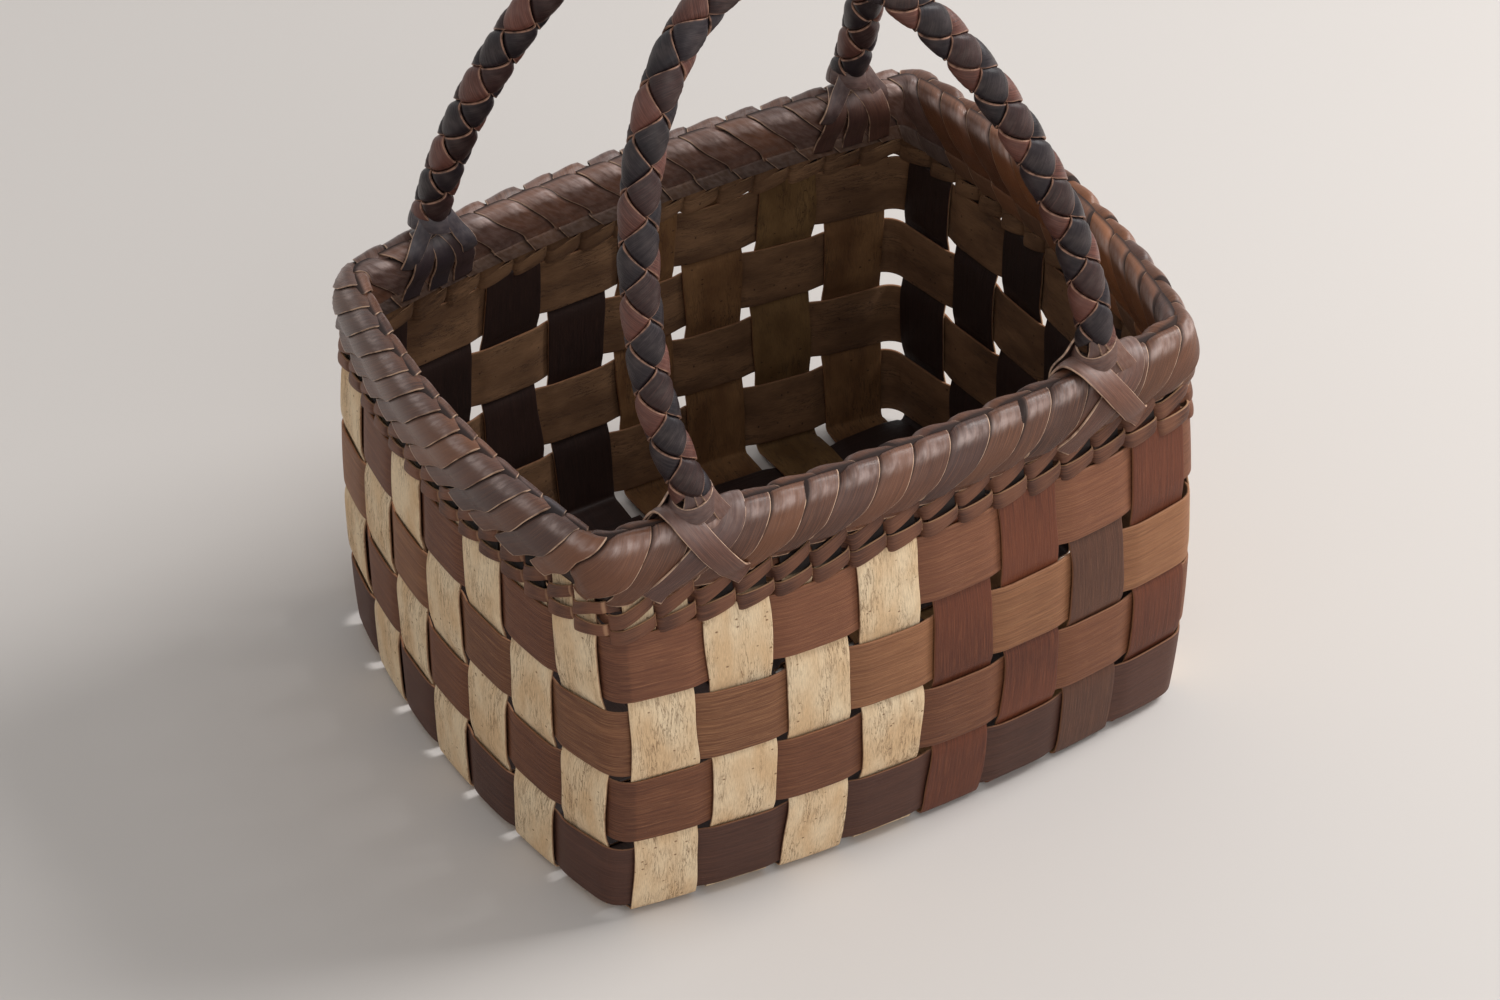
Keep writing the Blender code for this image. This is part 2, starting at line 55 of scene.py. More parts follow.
CROSS_COUNT, CROSS_WIDTH, CROSS_PITCH = 8, 20.8 * MM, 25.0 * MM
LENGTH_COUNT, LENGTH_WIDTH, LENGTH_PITCH = 7, 19.6 * MM, 23.1 * MM
CORNER_LAP = 1.0 * MM
LONG_BOW, SHORT_BOW, CORNER_RADIUS = 8.0 * MM, 8.5 * MM, 8.0 * MM
FOLD_RADIUS = 2.0 * MM
BASE_Z = 1.3 * MM
HOOP_BASE_Z, HOOP_HEIGHT, HOOP_STEP = 3.6 * MM, 22.6 * MM, 27.1 * MM
HOOP_COUNT = 4
STRIP_TOP_Z = 127.5 * MM
RIM_TOP_Z = 146.4 * MM

LONG_CHORD = (CROSS_COUNT - 1) / 2 * CROSS_PITCH + CROSS_WIDTH / 2 - CORNER_LAP
SHORT_CHORD = (LENGTH_COUNT - 1) / 2 * LENGTH_PITCH + LENGTH_WIDTH / 2 - CORNER_LAP
LONG_RADIUS = (LONG_CHORD ** 2 + LONG_BOW ** 2) / (2 * LONG_BOW)
SHORT_RADIUS = (SHORT_CHORD ** 2 + SHORT_BOW ** 2) / (2 * SHORT_BOW)
LONG_ANGLE = math.asin(LONG_CHORD / LONG_RADIUS)
SHORT_ANGLE = math.asin(SHORT_CHORD / SHORT_RADIUS)
CORNER_X = LONG_CHORD - CORNER_RADIUS * math.sin(LONG_ANGLE)
CORNER_Y = SHORT_CHORD - CORNER_RADIUS * math.sin(SHORT_ANGLE)
HALF_DEPTH = CORNER_Y + CORNER_RADIUS * math.cos(LONG_ANGLE) + LONG_BOW
HALF_LENGTH = CORNER_X + CORNER_RADIUS * math.cos(SHORT_ANGLE) + SHORT_BOW
LONG_ARC = LONG_RADIUS * LONG_ANGLE
SHORT_ARC = SHORT_RADIUS * SHORT_ANGLE
CORNER_ARC = CORNER_RADIUS * (math.pi / 2 - LONG_ANGLE - SHORT_ANGLE)
QUARTER = LONG_ARC + CORNER_ARC + SHORT_ARC
ROUND = 4 * QUARTER
NEAR_LEFT_S = -LONG_ARC - CORNER_ARC / 2


def plan(s):
    """Points and outward normals of the wall's plan after a walk of s from the near wall's middle.

    A quarter of the plan is an arc of the long wall, a small corner arc and an
    arc of the short wall, and the other three quarters mirror it.
    """
    s = np.mod(s, ROUND)
    quadrant = np.minimum(np.floor(s / QUARTER), 3)
    t = s - quadrant * QUARTER
    t = np.where(quadrant % 2 == 1, QUARTER - t, t)
    parts = [t <= LONG_ARC, t <= LONG_ARC + CORNER_ARC]
    angle = np.select(parts, [t / LONG_RADIUS, LONG_ANGLE + (t - LONG_ARC) / CORNER_RADIUS],
                      math.pi / 2 - (QUARTER - t) / SHORT_RADIUS)
    radius = np.select(parts, [LONG_RADIUS, CORNER_RADIUS], SHORT_RADIUS)
    centre_x = np.select(parts, [0.0, CORNER_X], HALF_LENGTH - SHORT_RADIUS)
    centre_y = np.select(parts, [LONG_RADIUS - HALF_DEPTH, -CORNER_Y], 0.0)
    flip_x = np.where(quadrant >= 2, -1.0, 1.0)
    flip_y = np.where((quadrant == 1) | (quadrant == 2), -1.0, 1.0)
    nx, ny = np.sin(angle), -np.cos(angle)
    x, y = centre_x + radius * nx, centre_y + radius * ny
    return x * flip_x, y * flip_y, nx * flip_x, ny * flip_y


# Growth of the plan's length and depth at the rim, with the height and with its square
LENGTH_FLARE, DEPTH_FLARE = (0.04, -0.035), (0.28, -0.35)


def wall(s, out, z):
    """Points on the wall: the plan grows with height and is drawn in again by the rim."""
    s, out, z = np.broadcast_arrays(s, out, z)
    x, y, nx, ny = plan(s)
    rise = z / RIM_TOP_Z
    x = x * (1 + LENGTH_FLARE[0] * rise + LENGTH_FLARE[1] * rise ** 2)
    y = y * (1 + DEPTH_FLARE[0] * rise + DEPTH_FLARE[1] * rise ** 2)
    return np.stack([x + nx * out, y + ny * out, z], axis=-1)


def smooth_step(x):
    """A smooth rise from 0 to 1 while x goes from 0 to 1."""
    x = np.clip(x, 0, 1)
    return x * x * (3 - 2 * x)


def smooth_rise(x, start, run):
    """A smooth rise from 0 to 1 as x goes from start on through run, both in millimetres."""
    return smooth_step((x / MM - start) / run)


def signed_walk(s):
    """The same place on the wall as a walk of at most half a round either way."""
    return np.mod(np.asarray(s) + ROUND / 2, ROUND) - ROUND / 2


NEAR_REACH, NEAR_FADE = 132, 30
HOOP_LOWER_RISE = (0.3 * MM, 2.0 * MM, 2.0 * MM, 3.2 * MM)
HOOP_UPPER_RISE = (3.2 * MM, 3.8 * MM, 3.8 * MM, 4.0 * MM)
CLIMB, CLIMB_FROM, CLIMB_RUN = 2.6 * MM, -55, 75
SPLIT_GAP = 1.7 * MM


def on_near_wall(s):
    """The signed walk, and a share that is one on the near wall only."""
    walk = signed_walk(s)
    return walk, smooth_rise(-np.abs(walk), -NEAR_REACH, NEAR_FADE)


def hoop_edges(hoop, s):
    """Heights of a hoop's edges: higher on the near wall, where the top hoop climbs to the right."""
    walk, near = on_near_wall(s)
    climb = CLIMB * smooth_rise(walk, CLIMB_FROM, CLIMB_RUN) * (hoop == HOOP_COUNT - 1)
    low = HOOP_BASE_Z + hoop * HOOP_STEP
    high = low + HOOP_HEIGHT
    return low + near * (HOOP_LOWER_RISE[hoop] + climb), high + near * (HOOP_UPPER_RISE[hoop] + climb)


def split_height(s):
    """Height at which an upright is split in two, just above the top hoop."""
    return hoop_edges(HOOP_COUNT - 1, s)[1] + SPLIT_GAP


def drift(q, seed, wave, size):
    """Slow irregular sway: the sum of five sines of nearby wavelengths and seeded phases."""
    rng = np.random.default_rng(seed)
    waves = wave * rng.uniform(0.6, 1.8, 5)
    phases = rng.uniform(0, 2 * math.pi, 5)
    return size * 0.45 * sum(np.sin(2 * math.pi * np.asarray(q) / w + p) for w, p in zip(waves, phases))


def flattened(x, sharpness):
    """A wave with flattened tops: its hyperbolic tangent, scaled so that one stays one."""
    return np.tanh(sharpness * x) / math.tanh(sharpness)


def weave(phase):
    """Over and under: a flattened cosine of the crossing number, a little over one at most."""
    return 1.12 * flattened(np.cos(math.pi * phase), 2.6)


# A strap's section, as shares of its half width and half thickness
EDGE_ACROSS = np.array([-1, -0.985, -0.94, -0.6, -0.3, 0, 0.3, 0.6, 0.94, 0.985, 1])
EDGE_THROUGH = np.array([0.6, 0.95, 1, 1, 1, 1, 1, 1, 1, 0.95, 0.6])
ACROSS = np.concatenate([EDGE_ACROSS, EDGE_ACROSS[::-1]])
THROUGH = np.concatenate([EDGE_THROUGH, -EDGE_THROUGH[::-1]])
EDGE_MARK = (np.abs(ACROSS) > 0.99).astype(float)
UPPER_MARK = (THROUGH > 0).astype(float)
CROWN = 1 - ACROSS ** 2


def show(name, data):
    """An object of the scene made of the data."""
    thing = bpy.data.objects.new(name, data)
    bpy.context.scene.collection.objects.link(thing)
    return thing


def add_piece(name, parts, material, closed=False):
    """One object from grids of points, each a run of closed sections.

    Each part is (points, marks): points has one row per section, and marks
    gives a number or a vector per point for each named attribute. A closed part
    joins its last section to its first, and another gets a face on each end.
    """
    verts, faces, marks = [], [], {}
    start = 0
    for points, part_marks in parts:
        rows, cols, _ = points.shape
        index = np.arange(rows * cols).reshape(rows, cols)
        if closed:
            index = np.vstack([index, index[:1]])
        here, ahead = index[:-1], index[1:]
        quads = np.stack([here, np.roll(here, -1, 1), np.roll(ahead, -1, 1), ahead], -1).reshape(-1, 4)
        corner = points.reshape(-1, 3)[quads]
        volume = np.einsum("ij,ij->", corner[:, 0] - points.mean((0, 1)),
                           np.cross(corner[:, 2] - corner[:, 0], corner[:, 3] - corner[:, 1]))
        ends = [] if closed else [index[0][::-1], index[-1]]
        turned = slice(None, None, -1 if volume < 0 else 1)
        faces += (quads[:, turned] + start).tolist() + [(end[turned] + start).tolist() for end in ends]
        verts.append(points.reshape(-1, 3))
        for key, value in part_marks.items():
            shape = (rows, cols, 3) if np.ndim(value) == 3 else (rows, cols)
            marks.setdefault(key, []).append(np.broadcast_to(value, shape).reshape(rows * cols, -1))
        start += rows * cols
    mesh = bpy.data.meshes.new(name)
    mesh.from_pydata(np.concatenate(verts).tolist(), [], faces)
    for key, values in marks.items():
        values = np.concatenate(values)
        kind, field = ("FLOAT_VECTOR", "vector") if values.shape[1] == 3 else ("FLOAT", "value")
        mesh.attributes.new(key, kind, "POINT").data.foreach_set(field, values.astype(np.float32).ravel())
    mesh.shade_smooth()
    mesh.materials.append(material)
    return show(name, mesh)


def strap_marks(along, half_width, tone, end_fade=None, edge_mark=EDGE_MARK):
    """Marks of a flat strap: the grain's own millimetres, the cut edges, the upper side and its tone."""
    across = ACROSS * np.asarray(half_width).reshape(-1, 1)
    along = np.asarray(along).reshape(-1, 1) + 0 * across
    edge = np.broadcast_to(edge_mark, across.shape).copy()
    if end_fade is not None:
        edge = np.maximum(edge, np.asarray(end_fade).reshape(-1, 1))
    return {"grain": np.stack([across, along, 0 * across], -1) / MM,
            "edge": edge, "rough_side": UPPER_MARK + 0 * across,
            "tone": np.asarray(tone).reshape(-1, 1) + 0 * across}


def paint(r, g, b):
    """A colour as seen on a screen, 0 to 255, in the linear shares that a shader takes."""
    shares = [v / 255 for v in (r, g, b)]
    return tuple(v / 12.92 if v <= 0.04045 else ((v + 0.055) / 1.055) ** 2.4 for v in shares) + (1.0,)


def put(tree, kind, feeds=None, **settings):
    """A shader node with its settings, and its inputs set to values or joined to other nodes' outputs."""
    made = tree.nodes.new(f"ShaderNode{kind}")
    for key, value in settings.items():
        setattr(made, key, value)
    for key, value in (feeds or {}).items():
        socket = made.inputs[key]
        if isinstance(value, bpy.types.NodeSocket):
            tree.links.new(value, socket)
        else:
            socket.default_value = value
    return made


def grain_noise(tree, vector, across, along, **feeds):
    """Noise drawn out along the grain: across and along are its frequencies per millimetre."""
    scaled = put(tree, "Mapping", {"Vector": vector, "Scale": (across, along, along)}).outputs[0]
    return put(tree, "TexNoise", {"Vector": scaled, "Scale": 1.0, **feeds}).outputs["Fac"]


def between(tree, value, low, high, to_low=0.0, to_high=1.0):
    """The value carried from one range to another and held at its ends."""
    return put(tree, "MapRange", {"Value": value, "From Min": low, "From Max": high,
                                  "To Min": to_low, "To Max": to_high}).outputs[0]


def reckon(tree, operation, *values):
    """One step of arithmetic on numbers and sockets."""
    return put(tree, "Math", dict(enumerate(values)), operation=operation).outputs[0]


def blend_colour(tree, share, first, second):
    """A colour between two, each a colour or a socket."""
    return put(tree, "Mix", {0: share, 6: first, 7: second}, data_type="RGBA").outputs[2]


def blend_number(tree, share, first, second):
    """A number between two, each a number or a socket."""
    return put(tree, "Mix", {0: share, 2: first, 3: second}).outputs[0]


def new_group(name, **inputs):
    """An empty shader group with inputs of those names and kinds, and the sockets that bring them in."""
    group = bpy.data.node_groups.new(name, "ShaderNodeTree")
    for key, kind in inputs.items():
        group.interface.new_socket(key, in_out="INPUT", socket_type=f"NodeSocket{kind}")
    return group, group.nodes.new("NodeGroupInput").outputs


def give_out(group, **masks):
    """The same group, with each mask joined to an output of its name."""
    for key in masks:
        group.interface.new_socket(key, in_out="OUTPUT", socket_type="NodeSocketFloat")
    out = group.nodes.new("NodeGroupOutput")
    for key, mask in masks.items():
        group.links.new(mask, out.inputs[key])
    return group


def make_rough_bark():
    """Outer bark: fine broken cracks along the grain, dark corky specks, slow changes of tone."""
    group, given = new_group("outer bark", Grain="Vector")
    grain = given["Grain"]
    lines = grain_noise(group, grain, 0.95, 0.10, Detail=5.0, Roughness=0.62, Distortion=0.5)
    ridge = reckon(group, "ABSOLUTE", reckon(group, "SUBTRACT", lines, 0.5))
    broken = between(group, grain_noise(group, grain, 0.12, 0.035, Detail=3.0), 0.43, 0.60, 0.12, 1.0)
    crack = reckon(group, "MULTIPLY", between(group, ridge, 0.0, 0.030, 1.0, 0.0), broken)
    fibre = grain_noise(group, grain, 3.6, 0.35, Detail=3.0, Roughness=0.7)
    slow = grain_noise(group, grain, 0.10, 0.045, Detail=2.0)
    cells = put(group, "Mapping", {"Vector": grain, "Scale": (0.30, 0.42, 0.42)})
    speckle = put(group, "TexVoronoi", {"Vector": cells.outputs[0], "Scale": 1.0})
    near = between(group, speckle.outputs["Distance"], 0.09, 0.17, 1.0, 0.0)
    chosen = put(group, "SeparateColor", {0: speckle.outputs["Color"]})
    speck = reckon(group, "MULTIPLY", near, between(group, chosen.outputs[0], 0.55, 0.62))
    height = reckon(group, "SUBTRACT", reckon(group, "MULTIPLY_ADD", lines, 0.5, fibre),
                    reckon(group, "ADD", crack, reckon(group, "MULTIPLY", speck, 0.6)))
    return give_out(group, Crack=crack, Speck=speck, Fibre=fibre, Drift=slow, Height=height)


def make_bast():
    """Inner bark: close straight fibres, darker streaks and a few pale rubs."""
    group, given = new_group("inner bark", Grain="Vector")
    grain = given["Grain"]
    streak = grain_noise(group, grain, 1.5, 0.018, Detail=5.0, Roughness=0.66)
    fibre = grain_noise(group, grain, 5.0, 0.09, Detail=4.0, Roughness=0.7)
    rubbed = grain_noise(group, grain, 0.42, 0.06, Detail=5.0, Roughness=0.7, Distortion=0.6)
    rub = reckon(group, "MULTIPLY", between(group, rubbed, 0.60, 0.74), between(group, fibre, 0.42, 0.62))
    return give_out(group, Streak=streak, Fibre=fibre, Rub=rub,
                    Height=reckon(group, "MULTIPLY_ADD", streak, 0.6, fibre))


ROUGH_BARK = make_rough_bark()
BAST = make_bast()


def attribute(tree, name, output="Fac"):
    """One of the piece's own marks."""
    return put(tree, "Attribute", attribute_name=name).outputs[output]


def rough_look(tree, grain, light, mid, dark):
    """Colour and height of the outer bark in its three tones."""
    light, mid, dark = paint(*light), paint(*mid), paint(*dark)
    bark = put(tree, "Group", {"Grain": grain}, node_tree=ROUGH_BARK).outputs
    colour = blend_colour(tree, between(tree, bark["Drift"], 0.36, 0.64), light, mid)
    colour = blend_colour(tree, between(tree, bark["Fibre"], 0.42, 0.72, 0.0, 0.35), colour, dark)
    marks = reckon(tree, "MAXIMUM", bark["Crack"], bark["Speck"])
    return blend_colour(tree, reckon(tree, "MULTIPLY", marks, 0.85), colour, dark), bark["Height"]


def bast_look(tree, grain, light, mid, dark):
    """Colour and height of the inner bark: the tone mark shifts it between its middle and dark tones."""
    light, mid, dark = paint(*light), paint(*mid), paint(*dark)
    bark = put(tree, "Group", {"Grain": grain}, node_tree=BAST).outputs
    share = reckon(tree, "ADD", between(tree, bark["Streak"], 0.28, 0.78), attribute(tree, "tone"))
    colour = blend_colour(tree, between(tree, share, 0.0, 1.0), mid, dark)
    colour = blend_colour(tree, between(tree, bark["Fibre"], 0.48, 0.76, 0.0, 0.66), colour, light)
    return blend_colour(tree, reckon(tree, "MULTIPLY", bark["Rub"], 0.45), colour, light), bark["Height"]


def new_finish(name):
    """An empty material and its node tree."""
    material = bpy.data.materials.new(name)
    material.use_nodes = True
    material.node_tree.nodes.clear()
    return material, material.node_tree


def give_surface(tree, colour, rough, height, strength, depth, specular):
    """The finish's shader, with its colour, its roughness and a relief of that depth."""
    bump = put(tree, "Bump", {"Height": height, "Strength": strength, "Distance": depth}).outputs[0]
    shader = put(tree, "BsdfPrincipled", {"Base Color": colour, "Roughness": rough, "Normal": bump,
                                          "Specular IOR Level": specular})
    put(tree, "OutputMaterial", {"Surface": shader.outputs[0]})


# The near-black of the stain mark: stain from handling, and painted shade in the holes between the twining's
# links.
STAIN, CUT_RANGE, BARK_SPECULAR = paint(24, 16, 14), (0.35, 0.9), 0.3


def make_bark(name, rough, bast, edge, rough_out=True, edge_share=0.55):
    """A strip's finish: outer bark on one side, inner bark on the other and pale cut edges.

    rough and bast are (light, mid, dark) tones, or rough is None where both
    sides show the inner bark. The stain mark darkens it: stain from handling,
    and painted shade in the holes between the twining's links.
    """
    material, tree = new_finish(name)
    grain = attribute(tree, "grain", "Vector")
    colour, height = bast_look(tree, grain, *bast)
    roughness = between(tree, height, 0.4, 1.2, 0.46, 0.64)
    if rough is not None:
        side = attribute(tree, "rough_side")
        side = side if rough_out else reckon(tree, "SUBTRACT", 1.0, side)
        rough_colour, rough_height = rough_look(tree, grain, *rough)
        colour = blend_colour(tree, side, colour, rough_colour)
        height = blend_number(tree, side, height, rough_height)
        roughness = blend_number(tree, side, roughness, 0.78)
    cut = between(tree, attribute(tree, "edge"), *CUT_RANGE)
    colour = blend_colour(tree, reckon(tree, "MULTIPLY", cut, edge_share), colour, paint(*edge))
    colour = blend_colour(tree, attribute(tree, "stain"), colour, STAIN)
    give_surface(tree, colour, roughness, height, 0.55, 0.25 * MM, BARK_SPECULAR)
    return material


CREAM = ((240, 216, 180), (224, 190, 148), (120, 84, 56))
CREAM_INSIDE = ((72, 48, 38), (46, 30, 26), (29, 19, 17))
RED_OUTSIDE, RED = ((138, 100, 64), (108, 73, 44), (60, 38, 24)), ((144, 86, 56), (104, 54, 34), (70, 33, 21))
GREY_OUTSIDE = ((132, 100, 62), (104, 75, 43), (60, 40, 24))
GREY = ((134, 94, 70), (98, 62, 46), (68, 42, 32))
PALE_EDGE = (150, 104, 74)
cream_bark = make_bark("cream outer bark", CREAM, CREAM_INSIDE, PALE_EDGE)
red_bark = make_bark("reddish inner bark", RED_OUTSIDE, RED, PALE_EDGE, rough_out=False)
grey_bark = make_bark("greyish inner bark", GREY_OUTSIDE, GREY, PALE_EDGE, rough_out=False)

STRIP_STATIONS, STAKE_STATIONS = 190, 14
HALF_CROSSING, BASE_END = 0.42, 0.43
WEAVE_FADE, STRIP_CUP = 2.0 * MM, 0.10 * MM
STAKE_SHIFT, STAKE_GAP, STAKE_START = 0.15 * MM, 0.45 * MM, 0.1 * MM
WIDTH_DRIFT, SWAY_DRIFT, TONE_DRIFT = (40 * MM, 0.28 * MM), (90 * MM, 0.4 * MM), (60 * MM, 0.22)


def strip_path(reach, s_middle, crossings, base_pitch):
    """Stations along half a strip from the middle of the base to where it splits, as columns.

    Returns the length walked, the turn of the fold, the height on the wall, the
    crossing number, which counts one for each strip or hoop met, and a share
    that takes the weave away as the strip nears its split.
    """
    fold = FOLD_RADIUS * math.pi / 2
    split = split_height(s_middle)
    climb = split - BASE_Z - FOLD_RADIUS
    walked = np.linspace(0, reach + fold + climb, STRIP_STATIONS)[:, None]
    turn = np.clip((walked - reach) / FOLD_RADIUS, 0, math.pi / 2)
    height = BASE_Z + FOLD_RADIUS + np.maximum(walked - reach - fold, 0)
    last = (crossings - 1) / 2
    knots = [(k * base_pitch, k) for k in np.arange(last % 1, last + 0.1)]
    knots.append(((last + BASE_END) * base_pitch, last + HALF_CROSSING))
    start = reach + fold - (BASE_Z + FOLD_RADIUS)
    for hoop in range(HOOP_COUNT):
        low, high = hoop_edges(hoop, s_middle)
        count = last + 1 + hoop
        knots += [(start + low, count - HALF_CROSSING), (start + (low + high) / 2, count),
                  (start + high, count + HALF_CROSSING)]
    knots = np.array(sorted(knots))
    number = np.interp(walked, knots[:, 0], knots[:, 1])
    fade = 1 - np.clip((height - split + 0.9 * WEAVE_FADE) / WEAVE_FADE, 0, 1) ** 2
    return walked, turn, height, number, fade


def long_wall_s(x):
    """Walk to the point of the near wall at x."""
    return LONG_RADIUS * np.arcsin(x / LONG_RADIUS)


def half_stakes(s_middle, width, z_low, tone, seed):
    """The upper end of an upright, split in two so that the twining can pass between.

    It is darkened, partly as stain from handling and partly as painted shade in the holes between the
    twining's links, but for the two uprights next to the near left corner.
    """
    dark_top = smooth_rise(np.abs(signed_walk(s_middle - NEAR_LEFT_S)), 12, 9)
    half = width / 4 - STAKE_GAP
    z = np.linspace(z_low, STRIP_TOP_Z, STAKE_STATIONS)[:, None]
    parts = []
    for side in (-1, 1):
        middle = s_middle + side * (width / 4 + STAKE_SHIFT)
        points = wall(middle + half * ACROSS, THROUGH * STRIP_THICKNESS / 2, z)
        marks = strap_marks(z + seed * 0.07 + side * 0.01, np.full(STAKE_STATIONS, half), tone)
        # Darkened above the split: partly stain, partly painted shade in the holes between the twining's
        # links.
        marks["stain"] = smooth_rise(z - z_low, 1.0, 2.5) * dark_top + 0 * points[..., 0]
        parts.append((points, marks))
    return parts


def woven_strip(name, seed, sign, middle, width, walks, crossings, pitch, material, lengthwise, tone):
    """A whole strip with both ends: woven over and under on the base and up two walls.

    Its offset is the weave of its crossing number, and it turns up the wall on a
    quarter circle of the fold's radius.
    """
    halves = []
    for end, s_middle in zip((-1, 1), walks):
        foot = wall(s_middle, -FOLD_RADIUS, BASE_Z)
        reach = abs(foot[0] if lengthwise else foot[1])
        walked, turn, height, number, fade = strip_path(reach, s_middle, crossings, pitch)
        half = width / 2 + drift(end * walked, seed, *WIDTH_DRIFT)
        x = drift(end * walked, seed + 50, *SWAY_DRIFT) + ACROSS * half
        out = WEAVE_OFFSET * sign * weave(end * number + (crossings - 1) / 2) * fade
        out = out + STRIP_CUP * CROWN * np.sign(out) * fade + THROUGH * STRIP_THICKNESS / 2
        s = s_middle + x * (end if lengthwise else -end)
        standing = turn >= math.pi / 2
        folded_out = np.sin(turn) * (FOLD_RADIUS + out) - FOLD_RADIUS
        folded_z = BASE_Z + FOLD_RADIUS - np.cos(turn) * (FOLD_RADIUS + out)
        on_wall = wall(s, np.where(standing, out, folded_out), np.where(standing, height, folded_z))
        edge_at = wall(s, -FOLD_RADIUS, BASE_Z)
        reach_here = np.abs(edge_at[..., 0] if lengthwise else edge_at[..., 1])
        run = end * (walked + (reach_here - reach) * np.clip(walked / reach, 0, 1) ** 6)
        cross = middle + x
        flat = np.stack([run, cross, BASE_Z - out] if lengthwise else [cross, run, BASE_Z - out], -1)
        points = np.where((walked < reach)[..., None], flat, on_wall)
        halves.append((points, end * walked, half))
    points, along, half = (np.concatenate([first[::-1], second[1:]]) for first, second in zip(*halves))
    marks = strap_marks(along + seed * 0.61, half, tone + drift(along, seed + 9, *TONE_DRIFT))
    marks["stain"] = 0 * points[..., 0]
    parts = [(points, marks)]
    for s_middle in walks:
        parts += half_stakes(s_middle, width, split_height(s_middle) + STAKE_START, tone, seed)
    return add_piece(name, parts, material)


CROSS_FINISHES = (cream_bark,) * 4 + (red_bark, red_bark, grey_bark, red_bark)
CROSS_TONES = (0.0, 0.05, -0.05, 0.0, 0.02, -0.10, 0.10, 0.05)
for i in range(CROSS_COUNT):
    x_middle = (i - (CROSS_COUNT - 1) / 2) * CROSS_PITCH
    near_walk = long_wall_s(x_middle)
    strip = woven_strip(f"bark_cross_strip_{i + 1}", 100 + i, -1 if i % 2 == 0 else 1, x_middle,
                        CROSS_WIDTH, (near_walk, 2 * QUARTER - near_walk), LENGTH_COUNT, LENGTH_PITCH,
                        CROSS_FINISHES[i], False, CROSS_TONES[i])
    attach(strip, "basket")
    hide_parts(f"cross_strip_{i + 1}")


# Lengthwise strips: seven strips of the same bark that run along the base and up
# both short walls, all with their cream outer side outwards.
for j in range(LENGTH_COUNT):
    y_middle = (j - (LENGTH_COUNT - 1) / 2) * LENGTH_PITCH
    right_walk = QUARTER + SHORT_RADIUS * math.asin(y_middle / SHORT_RADIUS)
    strip = woven_strip(f"bark_length_strip_{j + 1}", 200 + j, 1 if j % 2 == 0 else -1, y_middle,
                        LENGTH_WIDTH, (ROUND - right_walk, right_walk), CROSS_COUNT, CROSS_PITCH,
                        cream_bark, True, 0.03 * (j % 3))
    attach(strip, "basket")
    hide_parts(f"length_strip_{j + 1}")


# Hoops: four flat bands of bark round the walls, smooth side out, each passing
# the uprights the other way from the one below.
def upright_walks():
    """Walks to the middles of the thirty uprights round the wall, in order, and their half widths."""
    cross = long_wall_s((np.arange(CROSS_COUNT) - (CROSS_COUNT - 1) / 2) * CROSS_PITCH)
    length_y = (np.arange(LENGTH_COUNT) - (LENGTH_COUNT - 1) / 2) * LENGTH_PITCH
    middles = np.concatenate([cross, QUARTER + SHORT_RADIUS * np.arcsin(length_y / SHORT_RADIUS)])
    halves = np.repeat([CROSS_WIDTH / 2, LENGTH_WIDTH / 2], [CROSS_COUNT, LENGTH_COUNT])
    return np.concatenate([middles, middles + 2 * QUARTER]), np.concatenate([halves, halves])


UPRIGHT_S, UPRIGHT_HALF = upright_walks()
START_S = UPRIGHT_S[0]


def upright_number(s):
    """How many uprights have been passed at a walk, whole on each upright's middle."""
    number = np.arange(-1, len(UPRIGHT_S) + 1)
    middles = np.concatenate([UPRIGHT_S[-1:] - ROUND, UPRIGHT_S, UPRIGHT_S[:1] + ROUND])
    halves = np.concatenate([UPRIGHT_HALF[-1:], UPRIGHT_HALF, UPRIGHT_HALF[:1]])
    walks = np.stack([middles - halves, middles, middles + halves], -1).ravel()
    shares = np.stack([number - HALF_CROSSING, number, number + HALF_CROSSING], -1).ravel()
    return np.interp(s, walks, shares)


def ring_walk(count):
    """Even walks once round from the first upright, and the same as turns from zero, in columns."""
    turn = np.linspace(0, 2 * math.pi, count, endpoint=False)[:, None]
    return START_S + ROUND * turn / (2 * math.pi), turn


def ripple(turn, *waves):
    """A sum of sine waves that close after one round, each of (size, waves a round, phase)."""
    return sum(size * np.sin(count * turn + phase) for size, count, phase in waves)


def ring_marks(s, half_width, tone):
    """Marks of a closed band: the grain runs round a circle of the band's length, so it has no seam."""
    marks = strap_marks(s, half_width, tone)
    circle, angle = ROUND / (2 * math.pi) / MM, 2 * math.pi * s / ROUND
    marks["grain"][..., 1] = circle * np.cos(angle)
    marks["grain"][..., 2] = circle * np.sin(angle)
    return marks


